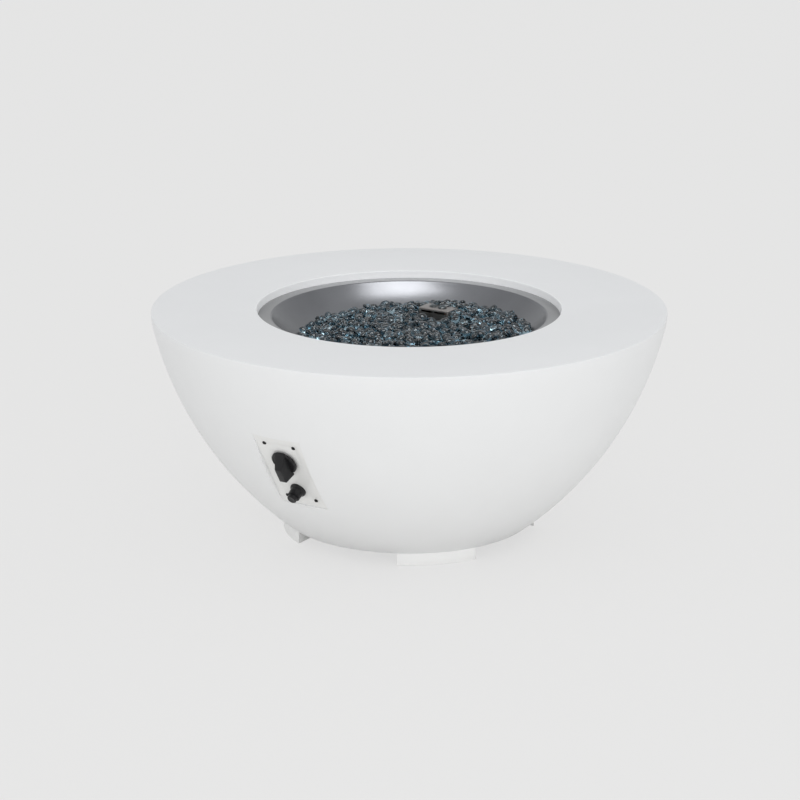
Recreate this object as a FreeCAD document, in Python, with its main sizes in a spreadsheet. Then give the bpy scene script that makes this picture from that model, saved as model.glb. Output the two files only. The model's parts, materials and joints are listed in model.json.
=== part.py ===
import FreeCAD, Part
import math
import os

import Sketcher

# A floor-standing gas fire bowl, 1.07 m across, cast in white fibre concrete.
# Millimetres, +Z up. The origin is on the floor below the bowl's centre, and the control
# plate faces -Y. Pieces of the control group are drawn on their own axis, with +Z pointing
# out of the plate, and are then seated on the plate's tilted plane.

# Each driving dimension is written once, here, and everything else is worked out from them.
DIMENSIONS = {
    # cast bowl
    "rim_radius": 533.4,
    "bowl_height": 447.6,
    "base_radius": 266.0,
    "rim_arc_radius": 119.0,
    "rim_arc_turn": 12.7,
    "edge_bevel": 2.0,
    "side_wall": 20.0,
    "top_slab": 22.0,
    "floor_slab": 22.0,
    "opening_radius": 315.6,
    "ledge_drop": 17.5,
    "ledge_width": 20.0,
    "ledge_depth": 22.0,
    "ledge_web": 16.0,
    "access_radius": 150.0,
    # feet
    "foot_height": 26.2,
    "channel_half_width": 120.0,
    # burner pan
    "pan_sheet": 1.5,
    "pan_fit": 1.5,
    "flange_width": 28.1,
    "pan_depth": 60.0,
    "dish_radius": 150.0,
    "dish_turn": 26.0,
    "hub_hole_radius": 10.8,
    "weep_hole_radius": 3.0,
    "weep_hole_reach": 140.0,
    "lead_hole_radius": 6.0,
    # burner
    "arm_count": 6.0,
    "arm_reach": 132.0,
    "arm_width": 16.0,
    "tube_wall": 1.2,
    "hub_radius": 24.0,
    "hub_height": 20.0,
    "nipple_radius": 10.5,
    "nipple_bore": 8.0,
    "nipple_length": 40.0,
    "port_width": 1.6,
    "port_count": 6.0,
    "port_pitch": 15.0,
    "port_first_reach": 42.0,
    "locknut_flats": 32.0,
    "locknut_height": 8.0,
    "mixer_radius": 15.0,
    "mixer_wall": 2.5,
    "mixer_length": 58.0,
    "mixer_window_width": 12.0,
    "mixer_window_height": 22.0,
    "orifice_flats": 17.0,
    "orifice_height": 16.0,
    # pilot group
    "hood_reach": 95.0,
    "hood_width": 74.0,
    "hood_depth": 42.0,
    "hood_height": 49.0,
    "hood_sheet": 1.2,
    "hood_slot_length": 29.0,
    "hood_slot_height": 4.6,
    "hood_slot_gap": 3.0,
    "hood_slot_drop": 6.5,
    "pilot_spacing": 18.0,
    "pilot_bracket_length": 58.0,
    "pilot_bracket_width": 26.0,
    "insulator_radius": 4.0,
    "insulator_length": 50.0,
    "electrode_radius": 1.2,
    "electrode_length": 14.0,
    "sensor_radius": 3.2,
    "sensor_length": 52.0,
    "pilot_nut_radius": 7.5,
    "pilot_nut_height": 6.0,
    "pilot_fit": 0.3,
    # glass
    "glass_edge_drop": 46.0,
    "glass_crown": 6.0,
    "glass_clearance": 0.4,
    "burner_cover": 25.0,
    # control plate
    "panel_tilt": 30.8,
    "panel_inset": 9.2,
    "plate_width": 110.0,
    "plate_height": 191.0,
    "plate_thickness": 2.0,
    "plate_gap": 0.8,
    "plate_screw_across": 68.5,
    "plate_screw_up": 150.0,
    "plate_screw_radius": 2.0,
    "plate_screw_length": 16.0,
    "plate_screw_head_radius": 4.2,
    "plate_screw_head_height": 2.4,
    "screw_clearance": 0.2,
    "window_width": 54.0,
    "window_height": 146.0,
    # gas valve
    "knob_above": 32.0,
    "neck_radius": 6.5,
    "neck_room": 0.7,
    "neck_bore": 3.15,
    "bonnet_radius": 19.0,
    "bonnet_height": 6.0,
    "valve_radius": 18.0,
    "valve_length": 52.0,
    "spring_chamber_radius": 8.6,
    "spring_chamber_depth": 14.0,
    "seat_front_radius": 8.0,
    "seat_back_radius": 6.4,
    "seat_length": 26.0,
    "plug_clearance": 0.05,
    "valve_boss_flats": 17.0,
    "valve_boss_root": 4.0,
    "valve_boss_length": 12.0,
    "valve_boss_back": 42.0,
    "magnet_radius": 8.0,
    "magnet_length": 30.0,
    "stem_radius": 3.0,
    "stem_bore": 3.1,
    "stem_depth": 34.0,
    "stem_collar_radius": 6.0,
    "stem_collar_height": 2.0,
    "knob_spring_wire": 0.9,
    "push_travel": 3.5,
    # knob
    "knob_gap": 4.0,
    "skirt_radius": 27.5,
    "skirt_height": 4.5,
    "skirt_wall": 2.5,
    "skirt_bevel": 2.0,
    "skirt_hollow_depth": 2.0,
    "socket_height": 5.0,
    "grip_width": 15.0,
    "grip_foot_width": 23.0,
    "grip_nose": 32.0,
    "grip_crest": 2.5,
    "grip_heel": 24.5,
    "grip_height": 21.0,
    "grip_bevel": 2.0,
    # igniter
    "igniter_below": 51.5,
    "igniter_flange_radius": 17.0,
    "igniter_flange_height": 4.0,
    "igniter_body_radius": 13.5,
    "igniter_body_height": 20.0,
    "igniter_barrel_radius": 11.0,
    "igniter_barrel_length": 58.0,
    "igniter_wall": 1.8,
    "igniter_nut_flats": 30.0,
    "igniter_nut_height": 7.0,
    "button_radius": 9.8,
    "button_height": 29.0,
    "button_length": 21.0,
    "button_clearance": 0.4,
    "button_travel": 3.0,
    "button_bevel": 1.5,
    "battery_radius": 5.25,
    "battery_length": 44.5,
    "battery_nub_radius": 1.9,
    "battery_nub_length": 0.8,
    "igniter_spring_radius": 5.0,
    "igniter_spring_wire": 0.8,
    # gas supply
    "inlet_reach": 125.0,
    "inlet_height": 68.0,
    "flare_radius": 7.94,
    "flare_length": 14.0,
    "neck_relief": 0.5,
    "inlet_hex_flats": 22.0,
    "inlet_hex_height": 10.0,
    "inlet_bracket_width": 40.0,
    "inlet_bracket_sheet": 3.0,
    "supply_tube_radius": 5.0,
    "flex_radius": 8.0,
    "ignition_lead_radius": 1.6,
    "sensor_lead_radius": 1.2,
}


class Size:
    """A dimension that keeps its number and the expression that gives it from the sheet."""

    def __init__(self, value, text):
        self.value = value
        self.text = text

    def __add__(self, other):
        other = as_size(other)
        return Size(self.value + other.value, f"({self.text} + {other.text})")

    def __radd__(self, other):
        return as_size(other) + self

    def __sub__(self, other):
        other = as_size(other)
        return Size(self.value - other.value, f"({self.text} - {other.text})")

    def __rsub__(self, other):
        return as_size(other) - self

    def __mul__(self, other):
        other = as_size(other)
        return Size(self.value * other.value, f"({self.text} * {other.text})")

    def __rmul__(self, other):
        return as_size(other) * self

    def __truediv__(self, other):
        other = as_size(other)
        return Size(self.value / other.value, f"({self.text} / {other.text})")

    def __neg__(self):
        return Size(-self.value, f"(0 - {self.text})")


def as_size(number):
    """Give a plain number the same form as a sheet dimension."""
    if isinstance(number, Size):
        return number
    return Size(float(number), f"({float(number)})")


def sine(angle):
    return Size(math.sin(math.radians(angle.value)), f"sin({angle.text})")


def cosine(angle):
    return Size(math.cos(math.radians(angle.value)), f"cos({angle.text})")


def tangent(angle):
    return Size(math.tan(math.radians(angle.value)), f"tan({angle.text})")


def root(size):
    return Size(math.sqrt(size.value), f"sqrt({size.text})")


class Sheet:
    """The dimension sheet: one named cell for each driving dimension."""

    def __init__(self, doc):
        self.cells = doc.addObject("Spreadsheet::Sheet", "Dims")
        for row, (name, value) in enumerate(DIMENSIONS.items(), start=1):
            self.cells.set(f"A{row}", name)
            self.cells.set(f"B{row}", str(value))
            self.cells.setAlias(f"B{row}", name)
        doc.recompute()

    def __getattr__(self, name):
        return Size(float(DIMENSIONS[name]), f"Dims.{name}")


doc = FreeCAD.newDocument("gas_fire_bowl")
s = Sheet(doc)
Vector = FreeCAD.Vector
parts = []


# Placement of the main levels and of the control plate

top = s.foot_height + s.bowl_height
# the bowl's side is a large arc, joined to a short arc that ends upright at the rim
joint_radius = s.rim_radius - s.rim_arc_radius * (1 - cosine(s.rim_arc_turn))
joint_height = top - s.rim_arc_radius * sine(s.rim_arc_turn)
run_in = joint_radius - s.base_radius
run_down = joint_height - s.foot_height
side_radius = (run_in * run_in + run_down * run_down) / (
    2 * (run_in * cosine(s.rim_arc_turn) - run_down * sine(s.rim_arc_turn))
)
# signs: the side arc's centre lies inside the bowl's axis and above its top
side_centre_x = joint_radius - side_radius * cosine(s.rim_arc_turn)
side_centre_z = joint_height + side_radius * sine(s.rim_arc_turn)
pan_top = top - s.ledge_drop + s.pan_sheet
pan_floor = pan_top - s.pan_depth
pan_under = pan_floor - s.pan_sheet
flange_outer = s.opening_radius - s.pan_fit
flange_inner = flange_outer - s.flange_width
plate_reach = side_centre_x + (side_radius - s.panel_inset) * cosine(s.panel_tilt)
plate_level = side_centre_z - (side_radius - s.panel_inset) * sine(s.panel_tilt)
floor_top = s.foot_height + s.floor_slab


def bind(thing, prop, size):
    """Tie a property to the sheet."""
    thing.setExpression(prop, as_size(size).text)


def place(thing, x=0, y=0, z=0, prop="Placement"):
    """Tie a position to the sheet."""
    for axis, size in (("x", x), ("y", y), ("z", z)):
        bind(thing, f"{prop}.Base.{axis}", size)


def tilt_like_plate(thing, across, up, out, prop="Placement"):
    """Seat a thing on the plate's plane: its +Z points out of the plate, its +Y up the plate."""
    turn = s.panel_tilt + 90
    y = -plate_reach - up * sine(s.panel_tilt) - out * cosine(s.panel_tilt)
    z = plate_level + up * cosine(s.panel_tilt) - out * sine(s.panel_tilt)
    rotation = FreeCAD.Rotation(Vector(1, 0, 0), turn.value)
    setattr(thing, prop, FreeCAD.Placement(Vector(0, 0, 0), rotation))
    bind(thing, f"{prop}.Rotation.Angle", turn)
    place(thing, across, y, z, prop)


def on_plate(across, up, out):
    """The point in the bowl's frame of a place on the control plate, in plain numbers."""
    tilt = math.radians(s.panel_tilt.value)
    y = -plate_reach.value - up * math.sin(tilt) - out * math.cos(tilt)
    z = plate_level.value + up * math.cos(tilt) - out * math.sin(tilt)
    return (across, y, z)


def new_body(label):
    body = doc.addObject("PartDesign::Body", label)
    body.Label = label
    body.AllowCompound = True
    parts.append(body)
    return body


def new_sketch(body, role="XY_Plane", lift=None):
    """A sketch on one of the body's own planes, lifted along the plane's normal if asked."""
    sketch = body.newObject("Sketcher::SketchObject", body.Name + "_sketch")
    plane = next(f for f in body.Origin.OriginFeatures if f.Role == role)
    sketch.AttachmentSupport = [(plane, "")]
    sketch.MapMode = "FlatFace"
    if lift is not None:
        bind(sketch, "AttachmentOffset.Base.z", lift)
    return sketch


def hold_point(sketch, edge, end, x, y):
    """Hold a point of the sketch to the sheet across and up from the sketch's origin."""
    for kind, size in (("DistanceX", as_size(x)), ("DistanceY", as_size(y))):
        index = sketch.addConstraint(
            Sketcher.Constraint(kind, -1, 1, edge, end, size.value)
        )
        sketch.setExpression(f"Constraints[{index}]", size.text)


def arc_between(start, end, radius, bulge):
    """An arc under a half circle. A bulge of 1 swells to the left of the way it runs, -1 to the right."""
    chord = end - start
    side = Vector(-chord.y, chord.x, 0).normalize() * bulge
    centre = (start + end) * 0.5 - side * math.sqrt(radius**2 - (chord.Length / 2) ** 2)
    # a sketch's arcs run anticlockwise, so one that swells to the left is drawn from its end
    first, last = (end, start) if bulge > 0 else (start, end)
    first_angle = math.atan2(first.y - centre.y, first.x - centre.x)
    last_angle = math.atan2(last.y - centre.y, last.x - centre.x)
    circle = Part.Circle(centre, Vector(0, 0, 1), radius)
    return Part.ArcOfCircle(circle, first_angle, last_angle)


def draw(sketch, corners):
    """Draw a closed outline. Each corner is (x, y), or (x, y, radius, bulge) when an arc leaves it."""
    points = [Vector(as_size(c[0]).value, as_size(c[1]).value, 0) for c in corners]
    ends = []
    for i, corner in enumerate(corners):
        start = points[i]
        end = points[(i + 1) % len(points)]
        if len(corner) == 2:
            edge = sketch.addGeometry(Part.LineSegment(start, end), False)
            ends.append((edge, 1, 2))
            continue
        radius = as_size(corner[2])
        arc = arc_between(start, end, radius.value, corner[3])
        edge = sketch.addGeometry(arc, False)
        ends.append((edge, 2, 1) if corner[3] > 0 else (edge, 1, 2))
        index = sketch.addConstraint(
            Sketcher.Constraint("Radius", edge, radius.value)
        )
        sketch.setExpression(f"Constraints[{index}]", radius.text)
    for i, corner in enumerate(corners):
        edge, first, last = ends[i]
        following, following_first, _ = ends[(i + 1) % len(corners)]
        sketch.addConstraint(
            Sketcher.Constraint("Coincident", edge, last, following, following_first)
        )
        hold_point(sketch, edge, first, corner[0], corner[1])


def draw_circle(sketch, x, y, radius):
    centre = Vector(as_size(x).value, as_size(y).value, 0)
    radius = as_size(radius)
    edge = sketch.addGeometry(
        Part.Circle(centre, Vector(0, 0, 1), radius.value), False
    )
    index = sketch.addConstraint(Sketcher.Constraint("Radius", edge, radius.value))
    sketch.setExpression(f"Constraints[{index}]", radius.text)
    hold_point(sketch, edge, 3, x, y)


def draw_rectangle(sketch, x, y, width, height):
    """A rectangle about its middle."""
    left = x - width / 2
    right = x + width / 2
    low = y - height / 2
    high = y + height / 2
    draw(sketch, [(left, low), (right, low), (right, high), (left, high)])


def draw_hexagon(sketch, x, y, flats):
    """A hexagon about its middle, with two flats facing left and right."""
    half = flats / 2
    corner = flats / math.sqrt(3)
    corners = [
        (x + half, y - corner / 2),
        (x + half, y + corner / 2),
        (x, y + corner),
        (x - half, y + corner / 2),
        (x - half, y - corner / 2),
        (x, y - corner),
    ]
    draw(sketch, corners)


def pad(body, sketch, length, downward=False):
    feature = body.newObject("PartDesign::Pad", body.Name + "_pad")
    feature.Profile = sketch
    bind(feature, "Length", length)
    feature.Reversed = downward
    return feature


def pocket(body, sketch, length, upward=False):
    """Cut against the sketch's normal, or along it if upward, and make sure that it cuts."""
    doc.recompute()
    before = body.Shape.Volume
    feature = body.newObject("PartDesign::Pocket", body.Name + "_pocket")
    feature.Profile = sketch
    bind(feature, "Length", length)
    feature.Reversed = upward
    doc.recompute()
    if not body.Shape.Volume < before - 1e-3:
        raise RuntimeError(f"a pocket in {body.Label} cuts nothing")
    return feature


def revolve(body, corners):
    """Turn an outline of (radius, height) corners about the body's own Z axis."""
    sketch = new_sketch(body, "XZ_Plane")
    draw(sketch, corners)
    feature = body.newObject("PartDesign::Revolution", body.Name + "_turned")
    feature.Profile = sketch
    feature.ReferenceAxis = (sketch, ["V_Axis"])
    feature.Angle = 360.0
    return feature


def bevel_edges(body, chosen, size):
    """Bevel the edges of the body's last feature that the test picks."""
    doc.recompute()
    base = body.Tip
    names = [f"Edge{i}" for i, edge in enumerate(base.Shape.Edges, start=1) if chosen(edge)]
    if not names:
        raise RuntimeError(f"no edge to bevel on {body.Label}")
    feature = body.newObject("PartDesign::Chamfer", body.Name + "_bevel")
    feature.Base = (base, names)
    bind(feature, "Size", size)
    return feature


def repeat_round_axis(body, feature, count):
    """Repeat a feature about the body's own Z axis."""
    pattern = body.newObject("PartDesign::PolarPattern", body.Name + "_pattern")
    pattern.Originals = [feature]
    axis = next(f for f in body.Origin.OriginFeatures if f.Role == "Z_Axis")
    pattern.Axis = (axis, [""])
    pattern.Angle = 360.0
    bind(pattern, "Occurrences", count)
    body.Tip = pattern
    return pattern


def is_flat_at(height):
    """A test for an edge that lies whole at one height."""

    def test(edge):
        box = edge.BoundBox
        level = as_size(height).value
        return abs(box.ZMin - level) < 1e-4 and abs(box.ZMax - level) < 1e-4

    return test


def four_corners(across, up):
    """The middles of a rectangular pattern's four holes."""
    return [(x * across / 2, y * up / 2) for x in (-1, 1) for y in (-1, 1)]


# Cast bowl and feet


def inner_reach(level):
    """How far the cavity's side lies from the axis at a level."""
    radius = side_radius - s.side_wall
    rise = side_centre_z - level
    return side_centre_x + root(radius * radius - rise * rise)


def make_bowl():
    body = new_body("bowl_shell")
    slab_under = top - s.top_slab
    ledge_top = top - s.ledge_drop
    ledge_under = ledge_top - s.ledge_depth
    ledge_inner = s.opening_radius - s.ledge_width
    ledge_outer = s.opening_radius + s.ledge_web
    # the cavity's former leaves its side in three flat bands
    band = (slab_under - floor_top) / 3
    low_band = floor_top + band
    high_band = slab_under - band
    revolve(
        body,
        [
            (s.opening_radius + s.edge_bevel, top),
            (s.rim_radius - s.edge_bevel, top),
            (s.rim_radius, top - s.edge_bevel, s.rim_arc_radius, 1),
            (joint_radius, joint_height, side_radius, 1),
            (s.base_radius, s.foot_height),
            (s.access_radius, s.foot_height),
            (s.access_radius, floor_top),
            (inner_reach(floor_top), floor_top),
            (inner_reach(low_band), low_band),
            (inner_reach(high_band), high_band),
            (inner_reach(slab_under), slab_under),
            (ledge_outer + s.ledge_web, slab_under),
            (ledge_outer, ledge_under),
            (ledge_inner, ledge_under),
            (ledge_inner, ledge_top),
            (s.opening_radius, ledge_top),
            (s.opening_radius, top - s.edge_bevel),
        ],
    )
    # flat seat for the control plate, square to the side arc's radius
    recess = new_sketch(body)
    tilt_like_plate(recess, 0, 0, -s.plate_thickness, "AttachmentOffset")
    width = s.plate_width + 2 * s.plate_gap
    height = s.plate_height + 2 * s.plate_gap
    draw_rectangle(recess, as_size(0), as_size(0), width, height)
    pocket(body, recess, s.side_wall * 2, upward=True)
    # window behind the plate, and the four screw inserts
    window = new_sketch(body)
    tilt_like_plate(window, 0, 0, -s.plate_thickness, "AttachmentOffset")
    draw_rectangle(window, as_size(0), as_size(0), s.window_width, s.window_height)
    pocket(body, window, s.side_wall * 2)
    inserts = new_sketch(body)
    tilt_like_plate(inserts, 0, 0, -s.plate_thickness, "AttachmentOffset")
    for x, y in four_corners(s.plate_screw_across, s.plate_screw_up):
        draw_circle(inserts, x, y, s.plate_screw_radius + s.screw_clearance / 2)
    pocket(body, inserts, s.plate_screw_length - s.plate_thickness + s.screw_clearance)


def make_foot(label, quarter_turns):
    """A cast pad: its outside follows the bowl's base, its two ends follow the hose channels."""
    body = new_body(label)
    sketch = new_sketch(body)
    near = s.channel_half_width
    far = root(s.base_radius * s.base_radius - near * near)
    draw(sketch, [(near, near), (far, near, s.base_radius, -1), (near, far)])
    pad(body, sketch, s.foot_height)
    body.Placement = FreeCAD.Placement(
        Vector(0, 0, 0), FreeCAD.Rotation(Vector(0, 0, 1), 90 * quarter_turns)
    )


# Burner pan, burner and glass


def dish(clearance):
    """The dish's rounded wall, moved in by a clearance: its upper and lower ends."""
    radius = s.dish_radius - clearance
    rise = s.dish_radius - s.pan_depth
    centre_x = flange_inner - root(s.dish_radius * s.dish_radius - rise * rise)
    centre_z = pan_floor + s.dish_radius
    # the wall is round down to this slope, and a straight cone from there to the floor
    low_x = centre_x + radius * sine(s.dish_turn)
    low_z = centre_z - radius * cosine(s.dish_turn)
    foot_x = low_x - (low_z - pan_floor - clearance) / tangent(s.dish_turn)
    return radius, centre_x, centre_z, low_x, low_z, foot_x


def make_pan():
    """A spun dish of sheet steel whose flange drops into the bowl's opening."""
    body = new_body("burner_pan")
    _, _, _, low_x, low_z, foot_x = dish(as_size(0))
    outside, centre_x, centre_z, under_low_x, under_low_z, under_foot_x = dish(-s.pan_sheet)
    flange_under = pan_top - s.pan_sheet
    rise = centre_z - flange_under
    under_x = centre_x + root(outside * outside - rise * rise)
    revolve(
        body,
        [
            (flange_outer, pan_top),
            (flange_inner, pan_top, s.dish_radius, 1),
            (low_x, low_z),
            (foot_x, pan_floor),
            (s.hub_hole_radius, pan_floor),
            (s.hub_hole_radius, pan_under),
            (under_foot_x, pan_under),
            (under_low_x, under_low_z, outside, -1),
            (under_x, flange_under),
            (flange_outer, flange_under),
        ],
    )
    holes = new_sketch(body, lift=pan_floor)
    reach = s.weep_hole_reach / math.sqrt(2)
    for x in (-1, 1):
        for y in (-1, 1):
            draw_circle(holes, x * reach, y * reach, s.weep_hole_radius)
    pilot_y = s.hood_reach + s.hood_depth / 2
    for side in (-1, 1):
        draw_circle(holes, side * s.pilot_spacing, pilot_y, s.lead_hole_radius)
    pocket(body, holes, s.pan_sheet)


def make_burner():
    """A star burner: hollow arms round a hub, saw-cut ports along the top of each arm."""
    body = new_body("star_burner")
    middle = pan_floor + s.hub_height / 2
    hub = new_sketch(body, lift=pan_floor)
    draw_circle(hub, as_size(0), as_size(0), s.hub_radius)
    pad(body, hub, s.hub_height)
    nipple = new_sketch(body, lift=pan_floor)
    draw_circle(nipple, as_size(0), as_size(0), s.nipple_radius)
    pad(body, nipple, s.nipple_length, downward=True)
    arm = new_sketch(body, "YZ_Plane")
    draw_rectangle(arm, as_size(0), middle, s.arm_width, s.arm_width)
    tube = pad(body, arm, s.arm_reach)
    doc.recompute()
    repeat_round_axis(body, tube, s.arm_count)
    bore = new_sketch(body, "YZ_Plane")
    inside_width = s.arm_width - 2 * s.tube_wall
    draw_rectangle(bore, as_size(0), middle, inside_width, inside_width)
    inside = pocket(body, bore, s.arm_reach - s.tube_wall, upward=True)
    repeat_round_axis(body, inside, s.arm_count)
    well = new_sketch(body, lift=pan_floor - s.nipple_length)
    draw_circle(well, as_size(0), as_size(0), s.nipple_bore)
    pocket(body, well, s.nipple_length + s.hub_height / 2, upward=True)
    ports = new_sketch(body, lift=middle + s.arm_width / 2)
    for i in range(int(s.port_count.value)):
        x = s.port_first_reach + i * s.port_pitch
        draw_rectangle(ports, x, as_size(0), s.port_width, s.arm_width / 2)
    slots = pocket(body, ports, s.tube_wall * 2)
    repeat_round_axis(body, slots, s.arm_count)


def make_locknut():
    body = new_body("burner_locknut")
    sketch = new_sketch(body, lift=pan_under - s.locknut_height)
    draw_hexagon(sketch, as_size(0), as_size(0), s.locknut_flats)
    draw_circle(sketch, as_size(0), as_size(0), s.nipple_radius + s.screw_clearance / 2)
    pad(body, sketch, s.locknut_height)


def make_mixer():
    """The air mixer: a sleeve on the burner's nipple, with two windows for the air."""
    body = new_body("air_mixer")
    mixer_top = pan_under - s.locknut_height
    mixer_low = mixer_top - s.mixer_length
    neck = s.nipple_radius + s.screw_clearance / 2
    neck_low = pan_floor - s.nipple_length
    inside = s.mixer_radius - s.mixer_wall
    revolve(
        body,
        [
            (neck, mixer_top),
            (s.mixer_radius, mixer_top),
            (s.mixer_radius, mixer_low),
            (s.orifice_flats / 4, mixer_low),
            (s.orifice_flats / 4, mixer_low + s.mixer_wall),
            (inside, mixer_low + s.mixer_wall),
            (inside, neck_low),
            (neck, neck_low),
        ],
    )
    window = new_sketch(body, "XZ_Plane")
    level = mixer_low + s.mixer_wall * 2 + s.mixer_window_height / 2
    window_size = (s.mixer_window_width, s.mixer_window_height)
    draw_rectangle(window, as_size(0), level, *window_size)
    cut = body.newObject("PartDesign::Pocket", "air_window")
    cut.Profile = window
    cut.Midplane = True
    bind(cut, "Length", s.mixer_radius * 2)


def make_orifice():
    body = new_body("gas_orifice")
    mixer_low = pan_under - s.locknut_height - s.mixer_length
    sketch = new_sketch(body, lift=mixer_low - s.orifice_height)
    draw_hexagon(sketch, as_size(0), as_size(0), s.orifice_flats)
    pad(body, sketch, s.orifice_height)
    spud = new_sketch(body, lift=mixer_low)
    draw_circle(spud, as_size(0), as_size(0), s.orifice_flats / 4 - s.screw_clearance / 2)
    pad(body, spud, s.mixer_wall * 2)


def make_glass():
    """The heap of fire glass: it fills the dish, is crowned, and stays clear of the burner."""
    body = new_body("glass_bed")
    radius, centre_x, centre_z, low_x, low_z, foot_x = dish(s.glass_clearance)
    edge_level = top - s.glass_edge_drop
    edge_rise = centre_z - edge_level
    edge_x = centre_x + root(radius * radius - edge_rise * edge_rise)
    cover = pan_floor + s.burner_cover
    low = pan_floor + s.glass_clearance
    hollow = s.arm_reach + s.arm_width / 2
    revolve(
        body,
        [
            (as_size(0), cover),
            (hollow, cover),
            (hollow, low),
            (foot_x, low),
            (low_x, low_z),
            (edge_x, edge_level),
            (as_size(0), edge_level + s.glass_crown),
        ],
    )
    pilot = new_sketch(body, lift=pan_floor)
    middle = s.hood_reach + s.hood_depth / 2
    width = s.hood_width + 2 * s.glass_clearance
    depth = s.hood_depth + 2 * s.glass_clearance
    draw_rectangle(pilot, as_size(0), middle, width, depth)
    pocket(body, pilot, s.hood_height + s.glass_clearance, upward=True)


# Pilot group


def make_hood():
    """A folded cover over the pilot, with two slots in its front."""
    body = new_body("pilot_hood")
    middle = s.hood_reach + s.hood_depth / 2
    box = new_sketch(body, lift=pan_floor)
    draw_rectangle(box, as_size(0), middle, s.hood_width, s.hood_depth)
    pad(body, box, s.hood_height)
    inside = new_sketch(body, lift=pan_floor)
    draw_rectangle(
        inside,
        as_size(0),
        middle,
        s.hood_width - 2 * s.hood_sheet,
        s.hood_depth - 2 * s.hood_sheet,
    )
    pocket(body, inside, s.hood_height - s.hood_sheet, upward=True)
    slots = new_sketch(body, "XZ_Plane", lift=-s.hood_reach - s.hood_depth / 2)
    level = pan_floor + s.hood_height - s.hood_slot_drop
    shift = (s.hood_slot_length + s.hood_slot_gap) / 2
    for side in (-1, 1):
        draw_rectangle(slots, side * shift, level, s.hood_slot_length, s.hood_slot_height)
    pocket(body, slots, s.hood_depth, upward=True)


def make_pilot_bracket():
    body = new_body("pilot_bracket")
    middle = s.hood_reach + s.hood_depth / 2
    plate = new_sketch(body, lift=pan_floor + s.pilot_fit)
    draw_rectangle(plate, as_size(0), middle, s.pilot_bracket_length, s.pilot_bracket_width)
    draw_circle(plate, -s.pilot_spacing, middle, s.insulator_radius + s.pilot_fit / 2)
    draw_circle(plate, s.pilot_spacing, middle, s.sensor_radius + s.pilot_fit / 2)
    pad(body, plate, s.pan_sheet)


def make_pilot_rods():
    """The spark electrode in its insulator, and the flame sensor, each up through the pan."""
    y = s.hood_reach + s.hood_depth / 2
    low = pan_under - s.pilot_nut_height
    insulator = new_body("electrode_insulator")
    sketch = new_sketch(insulator, lift=low)
    draw_circle(sketch, -s.pilot_spacing, y, s.insulator_radius)
    draw_circle(sketch, -s.pilot_spacing, y, s.electrode_radius)
    pad(insulator, sketch, s.insulator_length - s.electrode_length)
    rod = new_body("spark_electrode")
    sketch = new_sketch(rod, lift=low)
    draw_circle(sketch, -s.pilot_spacing, y, s.electrode_radius)
    pad(rod, sketch, s.insulator_length)
    sensor = new_body("flame_sensor")
    sketch = new_sketch(sensor, lift=low)
    draw_circle(sketch, s.pilot_spacing, y, s.sensor_radius)
    pad(sensor, sketch, s.sensor_length)
    nuts = new_body("pilot_nuts")
    sketch = new_sketch(nuts, lift=low)
    for side, radius in ((-1, s.insulator_radius), (1, s.sensor_radius)):
        draw_circle(sketch, side * s.pilot_spacing, y, s.pilot_nut_radius)
        draw_circle(sketch, side * s.pilot_spacing, y, radius + s.pilot_fit / 2)
    pad(nuts, sketch, s.pilot_nut_height)


# Control plate group, each piece drawn on its own axis


def make_plate():
    body = new_body("control_plate")
    sketch = new_sketch(body, lift=-s.plate_thickness)
    draw_rectangle(sketch, as_size(0), as_size(0), s.plate_width, s.plate_height)
    draw_circle(sketch, as_size(0), s.knob_above, s.neck_radius + s.screw_clearance)
    draw_circle(
        sketch, as_size(0), -s.igniter_below, s.igniter_barrel_radius + s.screw_clearance
    )
    for x, y in four_corners(s.plate_screw_across, s.plate_screw_up):
        draw_circle(sketch, x, y, s.plate_screw_radius + s.screw_clearance)
    pad(body, sketch, s.plate_thickness)
    tilt_like_plate(body, 0, as_size(0), as_size(0))


def make_plate_screws():
    body = new_body("plate_screws")
    shanks = new_sketch(body)
    heads = new_sketch(body)
    for x, y in four_corners(s.plate_screw_across, s.plate_screw_up):
        draw_circle(shanks, x, y, s.plate_screw_radius)
        draw_circle(heads, x, y, s.plate_screw_head_radius)
    pad(body, shanks, s.plate_screw_length, downward=True)
    pad(body, heads, s.plate_screw_head_height)
    tilt_like_plate(body, 0, as_size(0), as_size(0))


def seat_at_knob(body):
    tilt_like_plate(body, 0, s.knob_above, as_size(0))


def seat_at_igniter(body):
    tilt_like_plate(body, 0, -s.igniter_below, as_size(0))


bonnet_back = -(s.plate_thickness + s.bonnet_height)
valve_back = bonnet_back - s.valve_length
seat_front = bonnet_back - s.spring_chamber_depth
seat_back = seat_front - s.seat_length


def make_bonnet():
    """The valve's cover: its neck passes the plate and guides the stem."""
    body = new_body("valve_bonnet")
    # the neck ends short of the pushed-in knob's hollow
    neck_top = s.knob_gap + s.skirt_hollow_depth - s.push_travel - s.neck_room
    revolve(
        body,
        [
            (s.neck_bore, neck_top),
            (s.neck_radius, neck_top),
            (s.neck_radius, -s.plate_thickness),
            (s.bonnet_radius, -s.plate_thickness),
            (s.bonnet_radius, bonnet_back),
            (s.neck_bore, bonnet_back),
        ],
    )
    seat_at_knob(body)


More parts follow.
